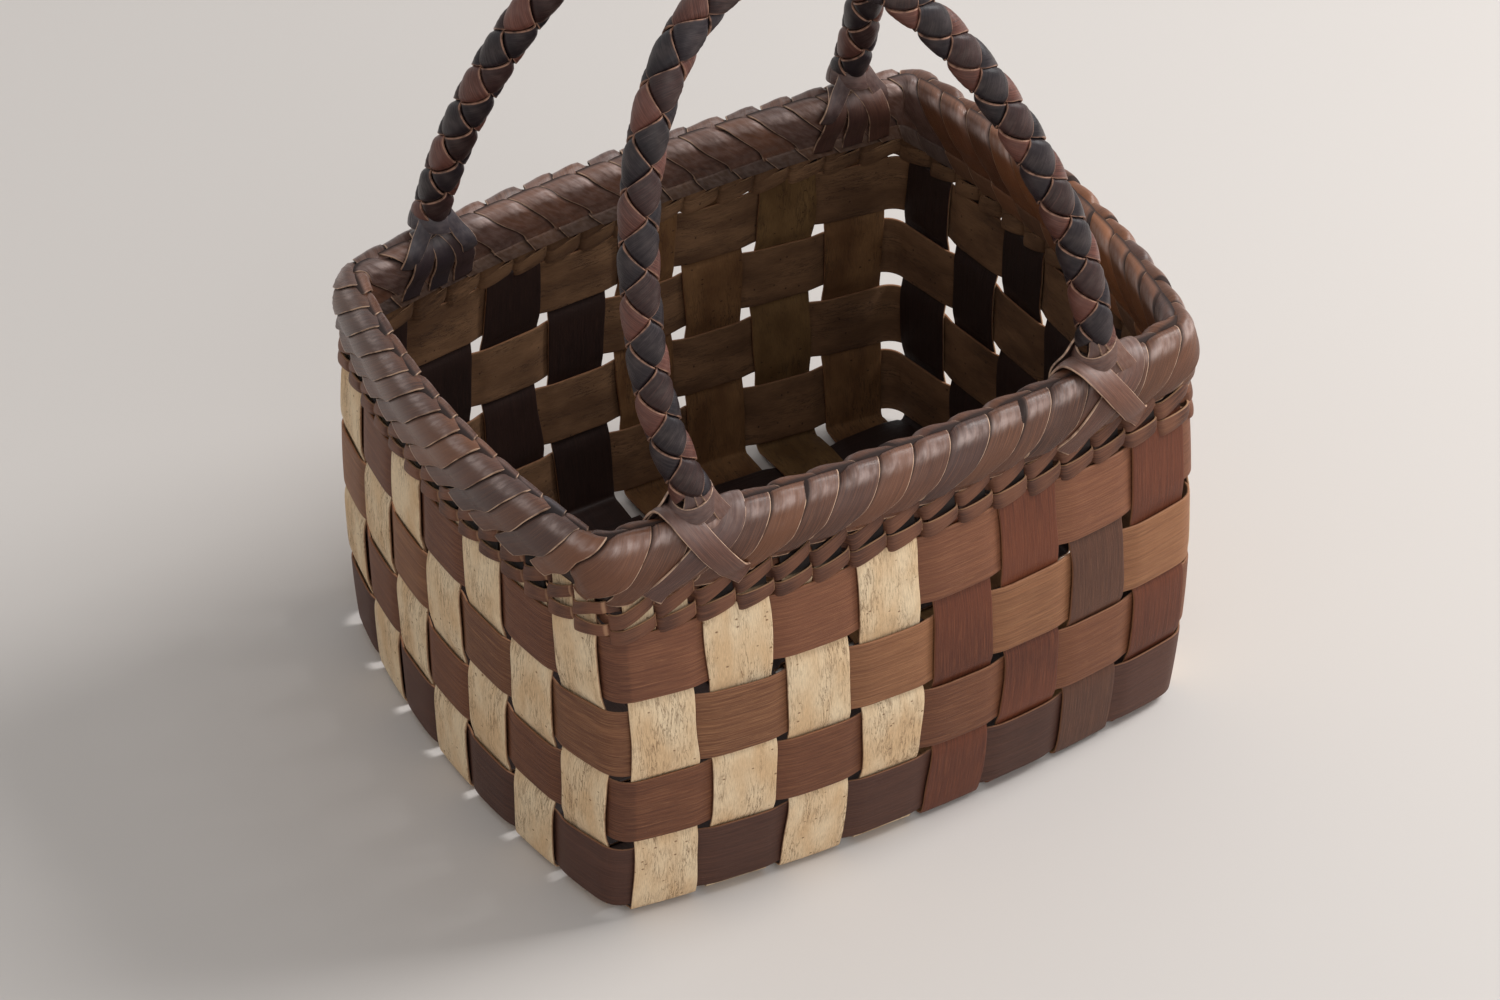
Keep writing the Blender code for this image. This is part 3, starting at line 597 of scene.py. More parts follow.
TAN_INSIDE = ((140, 104, 74), (104, 74, 51), (58, 38, 27))
HOOP_TONES = (((116, 80, 62), (86, 52, 40), (58, 34, 27)),
              ((168, 116, 80), (122, 75, 50), (80, 44, 29)),
              ((192, 142, 100), (146, 98, 66), (94, 56, 37)),
              ((172, 120, 84), (128, 80, 56), (86, 49, 34)))
LEFT_WALL_START, LEFT_WALL_END = 3 * QUARTER - SHORT_ARC, 4 * QUARTER - LONG_ARC
HOOP_STATIONS, HOOP_CUP, LEFT_TONE = 720, 0.18 * MM, 0.35
for hoop in range(HOOP_COUNT):
    s, turn = ring_walk(HOOP_STATIONS)
    sign = -1 if hoop % 2 == 0 else 1
    low, high = hoop_edges(hoop, s)
    half = (high - low) / 2 + MM * ripple(turn, (0.22, 5, hoop), (0.12, 17, 0))
    sway = MM * ripple(turn, (0.35, 3, 2.1 * hoop), (0.2, 11, hoop))
    wave = weave(upright_number(s))
    out = sign * WEAVE_OFFSET * wave
    out = out + HOOP_CUP * CROWN * np.sign(out) * wave ** 2 + THROUGH * STRIP_THICKNESS / 2
    points = wall(s, out, (low + high) / 2 + sway + ACROSS * half)
    tone = ripple(turn, (0.18, 2, hoop), (0.12, 7, 3 * hoop))
    # Darker on the left wall: painted shade.
    tone = tone + LEFT_TONE * smooth_rise(s - LEFT_WALL_START, 0, 20) * (s < LEFT_WALL_END)
    bark = make_bark(f"hoop {hoop + 1} bark", TAN_INSIDE, HOOP_TONES[hoop], PALE_EDGE, rough_out=False)
    band = add_piece(f"bark_hoop_{hoop + 1}", [(points, ring_marks(s, half, tone))], bark, closed=True)
    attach(band, "basket")
    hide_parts(f"wall_hoop_{hoop + 1}")


# Twining: two rows of paired narrow strands that cross between the split ends of
# the uprights. A strand rises in front of one half and falls behind the next.
TWINE_HALF_WIDTH, TWINE_THICKNESS = 2.25 * MM, 0.8 * MM
TWINE_OUT, TWINE_SWAYS = 1.45 * MM, (1.1 * MM, 2.4 * MM)
TWINE_BULGE, TWINE_CROWN, TWINE_LEAN, TWINE_BROADER = 0.35 * MM, 0.35 * MM, 0.35 * MM, 0.8 * MM
# A hair past each station, so that none falls just where a strand goes from front to back
TWINE_STATIONS, PAST_STATION = 1800, 1e-6 * MM
TWINE_WALKS = np.array([-290, -140, -112, -85, -50, -18, 75, 112, 140]) * MM
TWINE_HEIGHTS = np.array([(110.8, 110.8, 112.5, 114.0, 114.4, 117.0, 117.2, 113.0, 112.0),
                          (117.0, 117.2, 119.0, 120.6, 121.2, 124.2, 124.2, 120.2, 119.4)]) * MM
TWINE_TONES, TWINE_EDGE = ((150, 104, 76), (108, 68, 49), (70, 41, 31)), (196, 152, 116)
twine_bark = make_bark("twine bark", TAN_INSIDE, TWINE_TONES, TWINE_EDGE, rough_out=False, edge_share=0.6)
for row in range(2):
    for strand in range(2):
        s, turn = ring_walk(TWINE_STATIONS)
        number = 2 * upright_number(s + PAST_STATION) + 0.5 + strand
        front = np.cos(math.pi * number)
        slant = np.arcsin(0.96 * np.sin(math.pi * number)) / math.asin(0.96)
        out = TWINE_OUT * flattened(front, 3.4) + TWINE_BULGE * np.sign(front) * front ** 2
        walk = signed_walk(s)
        broader = TWINE_BROADER * smooth_rise(np.maximum(walk, -walk - 145 * MM), 105, 30)
        half = TWINE_HALF_WIDTH + broader + MM * ripple(turn, (0.20, 13, row))
        level = np.interp(walk, TWINE_WALKS, TWINE_HEIGHTS[row], period=ROUND)
        middle = level + TWINE_SWAYS[row] * slant + MM * ripple(turn, (0.3, 9, strand))
        through = np.sign(front) * (TWINE_LEAN * slant * ACROSS + TWINE_CROWN * CROWN)
        points = wall(s, out + through + THROUGH * TWINE_THICKNESS / 2, middle + ACROSS * half)
        tone = ripple(turn, (0.3, 23, 2 * strand + row), (0.35, 61, row))
        marks = ring_marks(s, half, tone)
        fold = np.clip(1 - np.abs(np.mod(number, 2) - 0.47) / 0.045, 0, 1)
        marks["edge"] = np.maximum(marks["edge"], fold)
        strand_piece = add_piece(f"bark_twine_{row + 1}_{strand + 1}", [(points, marks)], twine_bark, True)
        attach(strand_piece, "basket")
        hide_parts(f"twine_row_{row + 1}_strand_{strand + 1}")


# Rim: the split ends fold to the right over the twining and over the ridge, then
# back down inside, each lying on the one after it. A coil of spare ends fills it.
RIM_PROFILE = np.array([(3.4, 110.5), (3.1, 115.0), (2.8, 119.5), (2.4, 123.6), (2.6, 126.6), (3.8, 130.2),
                        (4.3, 133.8), (4.1, 137.2), (3.0, 140.4), (1.2, 142.6), (-1.3, 143.4),
                        (-3.8, 141.6), (-5.4, 138.2), (-5.8, 134.6), (-5.4, 131.2), (-4.5, 127.8),
                        (-4.0, 123.5), (-3.7, 117.5)]) * MM
RIM_ROOT_Z = 123.6 * MM
STRAPS = 60
STRAP_PITCH = ROUND / STRAPS
STRAP_HALF = 0.66 * STRAP_PITCH
STRAP_THICKNESS = 0.70 * MM
STRAP_SINK, SHINGLE_LIFT, STRAP_CROWN = 0.9 * MM, 1.35 * MM, 0.40 * MM
STRAP_STATIONS = 44
STRAP_SWAY, STRAP_WIDTH_DRIFT, STRAP_TONE_DRIFT = (40 * MM, 0.5 * MM), (30 * MM, 0.05), (25 * MM, 0.12)
# Far wall straps: a lighter tone and an even share of the pale rub that also paints a highlight; then the
# width of that rub's band round the fold.
FAR_TONE, FAR_WEAR, WEAR_WIDTH = -0.30, 0.28, 1.35
# How much lower the straps start and how much narrower they are there, on the walls round the rim
LOWER_LEFT, LOWER_ELSEWHERE, LOWER_NEAR_END = 5.5 * MM, 3.0 * MM, 2.2 * MM
NARROW_NEAR, NARROW_LEFT, STEEPER_LEFT = 0.55, 0.30, 0.85

# Courses of the straps: the way along the section in millimetres, and the lag behind the root in straps
OUTER_COURSE = np.array([(1.2, -1.34), (4.4, -1.10), (8.2, -0.80), (12.2, -0.50), (16.4, -0.24),
                         (20.0, -0.08), (22.8, 0.0), (25.2, 0.03), (27.4, 0.05)])
INNER_COURSE = np.array([(19.2, 0.50), (22.2, 0.40), (25.5, 0.12), (30.0, -0.26), (34.0, -0.60),
                         (37.6, -0.86), (41.0, -1.05), (45.0, -1.22)])
TAIL_COURSE = np.array([(41.2, -1.05), (44.4, -1.22), (47.4, -1.40), (50.0, -1.55)])


def smooth_line(knots, count):
    """Points on a smooth line through knots: cubic pieces, with half the chord beside a knot as its slope."""
    padded = np.vstack([2 * knots[0] - knots[1], knots, 2 * knots[-1] - knots[-2]])
    t = np.linspace(0, len(knots) - 1 - 1e-9, count)
    k = t.astype(int)
    f = (t - k)[:, None]
    a, b, c, d = padded[k], padded[k + 1], padded[k + 2], padded[k + 3]
    bend, twist = 2 * a - 5 * b + 4 * c - d, 3 * b - a - 3 * c + d
    return 0.5 * (2 * b + (c - a) * f + bend * f ** 2 + twist * f ** 3)


def unit(vectors):
    """The same directions with a length of one."""
    return vectors / np.linalg.norm(vectors, axis=-1, keepdims=True)


def walked_along(line):
    """Length walked along a line of points, to each of them."""
    return np.concatenate([[0], np.cumsum(np.linalg.norm(np.diff(line, axis=0), axis=1))])


RIM_LINE = smooth_line(RIM_PROFILE, 200)
RIM_AWAY = unit(np.gradient(RIM_LINE, axis=0))[:, ::-1] * (1, -1)
RIM_LENGTH = walked_along(RIM_LINE)
RIM_LENGTH -= RIM_LENGTH[np.argmax(RIM_LINE[:, 1] >= RIM_ROOT_Z)]
RIDGE_AT = RIM_LENGTH[np.argmax(RIM_LINE[:, 1])]


def rim_point(s, up, lift):
    """Points on the rim at walk s.

    up is the way along its section from the straps' roots, over the ridge and
    down inside, and lift is the height off it.
    """
    out, z = (np.interp(up, RIM_LENGTH, RIM_LINE[:, c]) + np.interp(up, RIM_LENGTH, RIM_AWAY[:, c]) * lift
              for c in range(2))
    return wall(s, out, z)


def make_strap_wear():
    """Pale marks of a folded strap: folds rubbed pale in patches, a pale that also paints the folds'
    highlight, and a cut edge that shows pale in stretches.
    """
    group, given = new_group("strap wear", Grain="Vector", Wear="Float", Edge="Float")
    grain = given["Grain"]
    patchy = between(group, grain_noise(group, grain, 0.55, 0.30, Detail=4.0), 0.40, 0.62, 0.35, 1.0)
    ragged = between(group, grain_noise(group, grain, 0.2, 0.35, Detail=4.0), 0.38, 0.55, 0.25, 1.0)
    pale = reckon(group, "MULTIPLY", between(group, given["Edge"], *CUT_RANGE), ragged)
    return give_out(group, Worn=reckon(group, "MULTIPLY", given["Wear"], patchy), Pale=pale)


STRAP_WEAR = make_strap_wear()
DYED_BLUE, DYED_ORANGE = paint(50, 46, 52), paint(150, 94, 58)
# The near-black one is painted shade for the creases beside each strap's edge.
# The pale one is the colour of rubbed folds, and it also paints the folds' highlight.
WORN_PALE, IN_CREASE = paint(206, 184, 176), paint(28, 18, 16)


def make_strap_bark(name, bast, cut, shine, specular=0.36):
    """Finish of a folded strap: inner bark, folds rubbed pale with a painted highlight, pale cut edges and
    painted shade in the creases by the next strap.

    The dye mark carries it towards blue-black above zero and orange-brown below.
    """
    material, tree = new_finish(name)
    grain = attribute(tree, "grain", "Vector")
    wear = put(tree, "Group", {"Grain": grain, "Wear": attribute(tree, "wear"),
                               "Edge": attribute(tree, "edge")}, node_tree=STRAP_WEAR).outputs
    colour, height = bast_look(tree, grain, *bast)
    dye = attribute(tree, "dye")
    colour = blend_colour(tree, between(tree, dye, 0.0, 1.0), colour, DYED_BLUE)
    colour = blend_colour(tree, between(tree, dye, 0.0, -1.0), colour, DYED_ORANGE)
    # Pale rub on the folds, which also paints their highlight.
    colour = blend_colour(tree, reckon(tree, "MULTIPLY", wear["Worn"], 0.58), colour, WORN_PALE)
    colour = blend_colour(tree, reckon(tree, "MULTIPLY", wear["Pale"], 0.9), colour, paint(*cut))
    # Painted shade: the crease just past the edge of the strap above is darkened and roughened.
    crease = between(tree, attribute(tree, "beyond"), 0.2, 1.3, 0.9, 0.0)
    colour = blend_colour(tree, crease, colour, IN_CREASE)
    roughness = blend_number(tree, wear["Worn"], between(tree, height, 0.4, 1.2, shine - 0.05, shine + 0.14),
                             shine - 0.06)
    give_surface(tree, colour, blend_number(tree, crease, roughness, 0.9), height, 0.5, 0.2 * MM, specular)
    return material


PALE_CUT = (212, 176, 148)
strap_bark = make_strap_bark("rim strap bark", ((152, 104, 76), (94, 58, 42), (54, 32, 25)), PALE_CUT, 0.30)
tail_bark = make_strap_bark("strap tail bark", ((130, 98, 72), (88, 62, 45), (54, 36, 27)), PALE_CUT, 0.6)


def wide_edge_mark(second):
    """An edge mark that takes in the rounding beside the edge, with a fainter band inside it."""
    return (np.abs(ACROSS) > 0.98) + second * ((np.abs(ACROSS) > 0.93) & (np.abs(ACROSS) < 0.96))


WIDE_EDGE_MARK = wide_edge_mark(0.3)
LEFT_MIDDLE_S = 4 * QUARTER - LONG_ARC - 34 * MM


def strap_dye(s, rng):
    """Each strap's dye: some of the left wall's are blue-black, and the right wall's are orange-brown."""
    s = np.mod(s, ROUND)
    left = 1 - smooth_rise(np.abs(s - LEFT_MIDDLE_S), 0, 22)
    right = 1 - smooth_rise(np.abs(s - QUARTER), 50, 30)
    return 0.75 * left * (rng.random() < 0.75) - 0.55 * right * rng.random() + rng.normal(0.02, 0.16)


def rim_strap_set(course, seed, dome_at, dome_height, dome_reach, dive_from, dive_to, wear_at, root=False,
                  behind=None):
    """Sixty straps side by side on the rim along one course, each with its left side under the one before.

    A strap's lift is a straight rise across it plus a parabola across it. By
    the fold it swells into a dome, steep on its left and falling to its right.
    At the two ends of the course it dives into the rim. With root, the straps
    start lower and narrower, and slant more on the left wall. Lengths are in
    millimetres, and the places of the dome and of the pale rub, which also paints the fold's highlight, are
    past the ridge.
    """
    rng = np.random.default_rng(seed)
    line = smooth_line(course, STRAP_STATIONS)
    up, lag = line[:, :1] * MM, line[:, 1:]
    from_root, to_end = up - up[0], up[-1] - up
    starts = (np.arange(STRAPS) - 0.5) * STRAP_PITCH + START_S + rng.normal(0, 0.45 * MM, STRAPS)
    halves = STRAP_HALF * (1 + rng.normal(0, 0.05, STRAPS))
    walk, near = on_near_wall(starts)
    left = smooth_rise(-walk, 88, 36) * smooth_rise(walk, -290, 40)
    far = smooth_rise(np.abs(walk), 255, 20)
    steep = 1 + root * STEEPER_LEFT * left
    near_lower = LOWER_NEAR_END * near * smooth_rise(-walk, 28, 26)
    lower = root * (LOWER_LEFT * left + (1 - left) * (LOWER_ELSEWHERE * (1 - near) + near_lower))
    narrow = root * (NARROW_NEAR * near * (1 - left) + NARROW_LEFT * left)[:, None, None]
    middles = np.stack([start + lag * STRAP_PITCH * steep[k] + drift(up, seed + 100 + k, *STRAP_SWAY)
                        for k, start in enumerate(starts)])
    widths = np.stack([half * (1 + drift(up, seed + 200 + k, *STRAP_WIDTH_DRIFT))
                       for k, half in enumerate(halves)])
    widths = widths * (1 - narrow * (1 - smooth_rise(from_root, 2.6, 6)))
    past = (up - RIDGE_AT) / MM
    reach = np.where(past < dome_at, 1.0, 0.38 if root else 1.6) * dome_reach
    fold = np.exp(-((past - dome_at) / reach) ** 2)
    dome = smooth_step((ACROSS + 0.70) / 0.30) * (1 - 0.55 * smooth_step((ACROSS + 0.10) / 1.1))
    flat = -STRAP_SINK + SHINGLE_LIFT * (ACROSS + 1) / 2 + STRAP_CROWN * CROWN
    parts = []
    for k in range(STRAPS):
        before = (middles + widths)[k - 1] - (ROUND if k == 0 else 0)
        s = middles[k] + ACROSS * widths[k]
        way = up - lower[k] * (1 - smooth_rise(from_root, 0, 16))
        swell = dome_height * (1 - 0.7 * left[k]) * fold * dome
        dive = (dive_from * (1 - 0.8 * left[k]) * (1 - smooth_rise(from_root, 0, 3.0))
                + dive_to * (1 - smooth_rise(to_end, 0, 3.4)))
        lift = flat + (swell - dive) * MM + rng.normal(0, 0.08 * MM) + THROUGH * STRAP_THICKNESS / 2
        points = rim_point(s, way, lift)
        tone = rng.normal(0, 0.22) + drift(up, seed + 300 + k, *STRAP_TONE_DRIFT) + FAR_TONE * far[k]
        marks = strap_marks(up + 0.05 * k, widths[k], tone, (from_root <= 0) * 1.0, WIDE_EDGE_MARK)
        # How far past the edge of the strap before, and for the inside straps past where the outside ones
        # end: near it the finish paints shade in the crease.
        marks["beyond"] = (s - before) / MM
        if behind is not None:
            marks["beyond"] = np.minimum(marks["beyond"], 1.5 * ((way - RIDGE_AT) / MM - behind))
        # Pale rub round the fold, which also paints its highlight, with an even share of it on the far wall.
        marks["wear"] = np.exp(-((past - wear_at) / WEAR_WIDTH) ** 2) * dome + FAR_WEAR * far[k]
        marks["dye"] = strap_dye(starts[k], rng) + 0 * s
        parts.append((points, marks))
    return parts


# Name, finish, course, seed, the dome's place, height and reach, the two dives, the place of the pale rub
# with its painted highlight, and for the outside straps that they are the roots, for the inside ones where
# the outside ones end, up to just past which they get painted crease shade
RIM_SETS = (("rim_straps_outside", strap_bark, OUTER_COURSE, 1000, -1.5, 2.6, 3.6, 1.5, 4.2, -3.6, True),
            ("rim_straps_inside", strap_bark, INNER_COURSE, 2000, 2.4, 2.4, 2.6, 3.4, 0.6, 4.0, False, 0.1),
            ("rim_strap_tails", tail_bark, TAIL_COURSE, 3000, 0.0, 0.0, 1.0, 1.2, 0.4, 0.0))
for name, bark, *shape in RIM_SETS:
    straps = add_piece(name, rim_strap_set(*shape), bark)
    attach(straps, "basket")
    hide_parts("rim_border")


def core_marks(around, along):
    """Marks of a core that hardly shows: its grain only."""
    zero = 0.0 * (around + along)
    return {"grain": np.stack([around + zero, along + zero, zero], -1) / MM,
            "edge": zero, "rough_side": zero, "tone": zero}


FILLING_DEPTH, FILLING_REACH = 1.9 * MM, 41 * MM
core_bark = make_bark("rim filling bark", None, ((80, 58, 48), (56, 40, 34), (36, 26, 24)), (90, 66, 50))
filling = (RIM_LINE - FILLING_DEPTH * RIM_AWAY)[(RIM_LENGTH >= 0) & (RIM_LENGTH < FILLING_REACH)][::4]
s = np.linspace(0, ROUND, 400, endpoint=False)[:, None]
core = wall(s, filling[:, 0], filling[:, 1])
rim_filling = add_piece("rim_filling", [(core, core_marks(3 * filling[:, 0], s))], core_bark, closed=True)
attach(rim_filling, "basket")


# Handles: four flat straps plaited round a core, two turning each way, bent to
# an arch. Each strap goes over one and under one of those that turn against it.
BRAID_MIDDLE, BRAID_LIFT, BRAID_THICKNESS, BRAID_CROWN = 4.20 * MM, 1.20 * MM, 0.80 * MM, 0.55 * MM
BRAID_HALF_WIDTH, BRAID_LEAD = 4.80 * MM, 31.2 * MM
BRAID_EDGE_MARK, CORE_INSET = wide_edge_mark(0.42), 1.0 * MM
HANDLE_LINE_Z, NEAR_LINE_Y, FAR_LINE_Y = 152.2 * MM, -80.48 * MM, 80.30 * MM
BRAID_CUT, BRAID_SHINE, BRAID_SPECULAR = (176, 134, 112), 0.33, 0.22
BRAID_STEP, TUCK_HEIGHT = 0.55 * MM, 45 * MM
BRAID_WIDTH_DRIFT, BRAID_TONE_DRIFT = (50 * MM, 0.2 * MM), (70 * MM, 0.25)
braid_blue, braid_brown, braid_dark = (
    make_strap_bark(name, tones, BRAID_CUT, BRAID_SHINE, BRAID_SPECULAR)
    for name, tones in (("blue black strap", ((78, 66, 68), (36, 29, 33), (20, 16, 19))),
                        ("brown strap", ((158, 108, 92), (102, 63, 54), (58, 34, 30))),
                        ("dark brown strap", ((96, 66, 60), (52, 33, 32), (30, 20, 20)))))


def arch(span, rise, shift, skew, pull, lean, line_y):
    """Path of a handle: half an ellipse, skewed sideways with height, then leant about its hinge line.

    Close to the rim its feet are pulled in by up to pull. Returns the length
    walked and the points at even steps of it, with the unit vectors that point
    out of the arch and sideways.
    """
    turn = np.linspace(0, math.pi, 2000)
    height = rise * np.sin(turn)
    tuck = pull * np.clip(1 - height / TUCK_HEIGHT, 0, 1) ** 2
    x = -(span / 2 - tuck) * np.cos(turn) + skew * height + shift
    walked = walked_along(np.stack([x, height], -1))
    even = np.linspace(0, walked[-1], 1600)
    x, height = np.interp(even, walked, x), np.interp(even, walked, height)
    centre = np.stack([x, line_y - math.sin(lean) * height, HANDLE_LINE_Z + math.cos(lean) * height], -1)
    across = np.array([0.0, math.cos(lean), math.sin(lean)])
    return even, centre, np.cross(unit(np.gradient(centre, axis=0)), across), across


def braid_strap(path, hand, start, seed):
    """One flat strap of the braid: a helix whose skin rises over one strap and dips under the next.

    The strap keeps a steady angle round the braid, and its height is a flattened
    cosine of the angle walked against the straps of the other hand. Where it
    goes under, it is marked with how far it is past the edge of the strap above,
    which sets painted shade in the crease there.
    """
    length, centre, outward, across = path
    lead = length[-1] / round(length[-1] / BRAID_LEAD)
    slope = math.atan(2 * math.pi * BRAID_MIDDLE / lead)
    a = np.linspace(0, length[-1] / math.cos(slope), int(length[-1] / BRAID_STEP))[:, None]
    half = BRAID_HALF_WIDTH + drift(a, seed, *BRAID_WIDTH_DRIFT)
    x = ACROSS * half
    run = a * math.cos(slope) - hand * x * math.sin(slope)
    angle = start + (hand * a * math.sin(slope) + x * math.cos(slope)) / BRAID_MIDDLE
    against = angle + hand * 2 * math.pi * run / lead
    over = hand * math.cos(math.pi * round(start / math.pi)) * np.cos(against)
    swell = BRAID_LIFT * flattened(over, 2.6)
    past = np.arcsin(np.clip(-over, 0, 1)) * BRAID_MIDDLE * math.cos(slope)
    crown = BRAID_CROWN * CROWN
    radius = BRAID_MIDDLE + swell + crown + THROUGH * BRAID_THICKNESS / 2
    run = np.clip(run, 0, length[-1])
    point, up = (np.stack([np.interp(run, length, part[:, c]) for c in range(3)], -1)
                 for part in (centre, outward))
    away = np.cos(angle)[..., None] * up + np.sin(angle)[..., None] * across
    points = point + radius[..., None] * away
    marks = strap_marks(a[:, 0] + seed * 0.37, half[:, 0], drift(a[:, 0], seed + 5, *BRAID_TONE_DRIFT),
                        edge_mark=BRAID_EDGE_MARK)
    # Where it goes under, painted shade in the crease by the strap above; on its tops a faint pale rub that
    # also paints a highlight.
    marks.update(beyond=np.where(over < 0, past / MM + 0.3, 3.0), dye=0 * x,
                 wear=0.10 * np.clip(over, 0, 1) ** 3)
    return points, marks


def add_braid(label, side, span, rise, shift, skew, pull, lean, line_y):
    """The four straps and the core of one handle."""
    path = arch(span, rise, shift, skew, pull, side * lean, line_y)
    straps = ((1, 0.0, braid_brown), (1, math.pi, braid_blue),
              (-1, 0.0, braid_dark), (-1, math.pi, braid_blue))
    for k, (hand, start, finish) in enumerate(straps):
        part = braid_strap(path, hand, start, 700 + 10 * k + side)
        piece = add_piece(f"{label}_braid_strap_{k + 1}", [part], finish)
        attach(piece, f"{label}_handle")
        if k == 0:
            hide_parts(f"{label}_handle_braid")
    length, centre, outward, across = path
    turn = np.linspace(0, 2 * math.pi, 16, endpoint=False)
    length, centre, outward = length[::10, None], centre[::10, None, :], outward[::10, None, :]
    ring = np.cos(turn)[:, None] * outward + np.sin(turn)[:, None] * across
    part = (centre + (BRAID_MIDDLE - CORE_INSET) * ring, core_marks(turn * BRAID_MIDDLE, length))
    core = add_piece(f"{label}_braid_core", [part], core_bark)
    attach(core, f"{label}_handle")


add_braid("near", -1, 149 * MM, 153 * MM, -2 * MM, -0.17, 4 * MM, math.radians(13), NEAR_LINE_Y)
add_braid("far", 1, 152 * MM, 145 * MM, 4 * MM, 0.0, 0.0, math.radians(21), FAR_LINE_Y)


# Feet: each braid is pushed down into the rim, where its ends spread. A strap is
# wound round the root, and two more are hooked over the rim, crossing outside.
LASH_TONES = ((150, 106, 84), (102, 65, 51), (66, 41, 33))
LASH_HALF, LASH_CROWN, LAID_STATIONS = 3.6 * MM, 0.35 * MM, 60
FREE_HALF, FREE_CROWN = 2.7 * MM, 0.3 * MM
# A distance past any edge at which no painted crease shade shows.
CLEAR = 9.0
lash_bark = make_strap_bark("lashing strap bark", LASH_TONES, PALE_CUT, 0.34)


def laid_strap(s_middle, course, tone, dye):
    """A strap laid on the rim along knots of (sideways, way along the section, lift) in millimetres.

    Its width lies square to the course in the unrolled surface of the rim.
    """
    line = smooth_line(np.array(course, float), LAID_STATIONS) * MM
    sideways, up, lift = line[:, :1], line[:, 1:2], line[:, 2:]
    along = unit(np.gradient(line[:, :2], axis=0))
    s = s_middle + sideways + ACROSS * LASH_HALF * along[:, 1:]
    up = up - ACROSS * LASH_HALF * along[:, :1]
    lift = lift + LASH_CROWN * CROWN + THROUGH * STRAP_THICKNESS / 2
    cut_end = (np.arange(LAID_STATIONS) == 0) * 1.0
    marks = strap_marks(walked_along(line[:, :2]) + abs(s_middle), np.full(LAID_STATIONS, LASH_HALF), tone,
                        cut_end, WIDE_EDGE_MARK)
    # Pale rub by the ridge, which also paints a highlight there; no painted crease shade.
    wear = 0.35 * np.exp(-((up - RIDGE_AT) / (5 * MM)) ** 2)
    marks.update(beyond=CLEAR + 0 * s, wear=wear, dye=dye + 0 * s)
    return rim_point(s, up, lift), marks


def free_strap(points, facing, tone, dye, count=40):
    """A flat strap along knots of a free line, with its broad side turned to the facing knots."""
    centre, face = smooth_line(points, count), smooth_line(facing, count)
    along = unit(np.gradient(centre, axis=0))
    side = unit(np.cross(along, face))
    face = np.cross(side, along)
    rise = FREE_CROWN * CROWN + THROUGH * STRAP_THICKNESS / 2
    skin = centre[:, None] + side[:, None] * (ACROSS * FREE_HALF)[:, None] + face[:, None] * rise[:, None]
    zero = 0 * skin[..., 0]
    marks = strap_marks(walked_along(centre), np.full(count, FREE_HALF), tone, edge_mark=WIDE_EDGE_MARK)
    # No painted crease shade, and a little pale rub that also paints a highlight.
    marks.update(beyond=CLEAR + zero, wear=0.15 + zero, dye=dye + zero)
    return skin, marks


# Courses of the hooked straps, the shares of the two sides that a braid's ends lean to, and
# each foot's label, its way round, its place and its dye
NEAR_OVER = ((13, -1, -1.0), (9.5, 3, 1.6), (4, 10, 2.9), (-2, 17, 4.3), (-7.5, 23.5, 4.4), (-11.5, 29, 2.4),
             (-13.5, 36, 0.4))
NEAR_UNDER = ((-17, -1, -1.0), (-13, 4, 1.0), (-3, 11, 1.4), (7, 16, 1.6), (12, 22, 2.6), (12, 28, 2.8),
              (9, 36, 0.8))
FAR_OVER = ((14, 0, -0.6), (11, 5, 1.6), (4, 14, 2.0), (-3, 22, 3.0), (-7, 28, 3.2), (-10, 36, 2.2),
            (-12, 47, 1.0))
FAR_UNDER = ((-14, 0, -0.8), (-11, 5, 0.8), (-4, 14, 1.2), (3, 22, 2.2), (6, 28, 2.6), (7, 36, 1.8),
             (8, 47, 0.8))
FAR_FAN = ((0, 24, 2.4), (-1, 29, 2.9), (-2, 36, 2.0), (-2.5, 47, 1.0))
NEAR_ENDS = ((1.0, 0.92), (0.35, 0.95), (-0.45, 0.82), (-1, -1), (1, -1))
FAR_ENDS = ((-1, 1), (-0.2, 1.0), (-1, -1), (1, -1))
END_LINE = np.array([(0.8, 1.2, 5.5), (2.4, 3.2, 2.5), (4.2, 4.6, -1.0), (6.6, 5.0, -5.5), (9.5, 5.9, -10.5),
                     (11.0, 4.4, -15.0)]) * MM
END_FACE = np.array([(0.3, 1.0, 0.1), (0.5, 1.0, 0.1), (0.4, 0.9, 0.4), (0.1, 0.8, 0.6), (0.0, 1.0, 0.2),
                     (0.0, 1.0, -0.1)])
FEET = (("near_left", 1, -72.5 * MM, NEAR_LINE_Y, 0.15), ("near_right", 1, 68.5 * MM, NEAR_LINE_Y, -0.05),
        ("far_left", -1, -72.0 * MM, FAR_LINE_Y, 0.75), ("far_right", -1, 80.0 * MM, FAR_LINE_Y, 0.2))
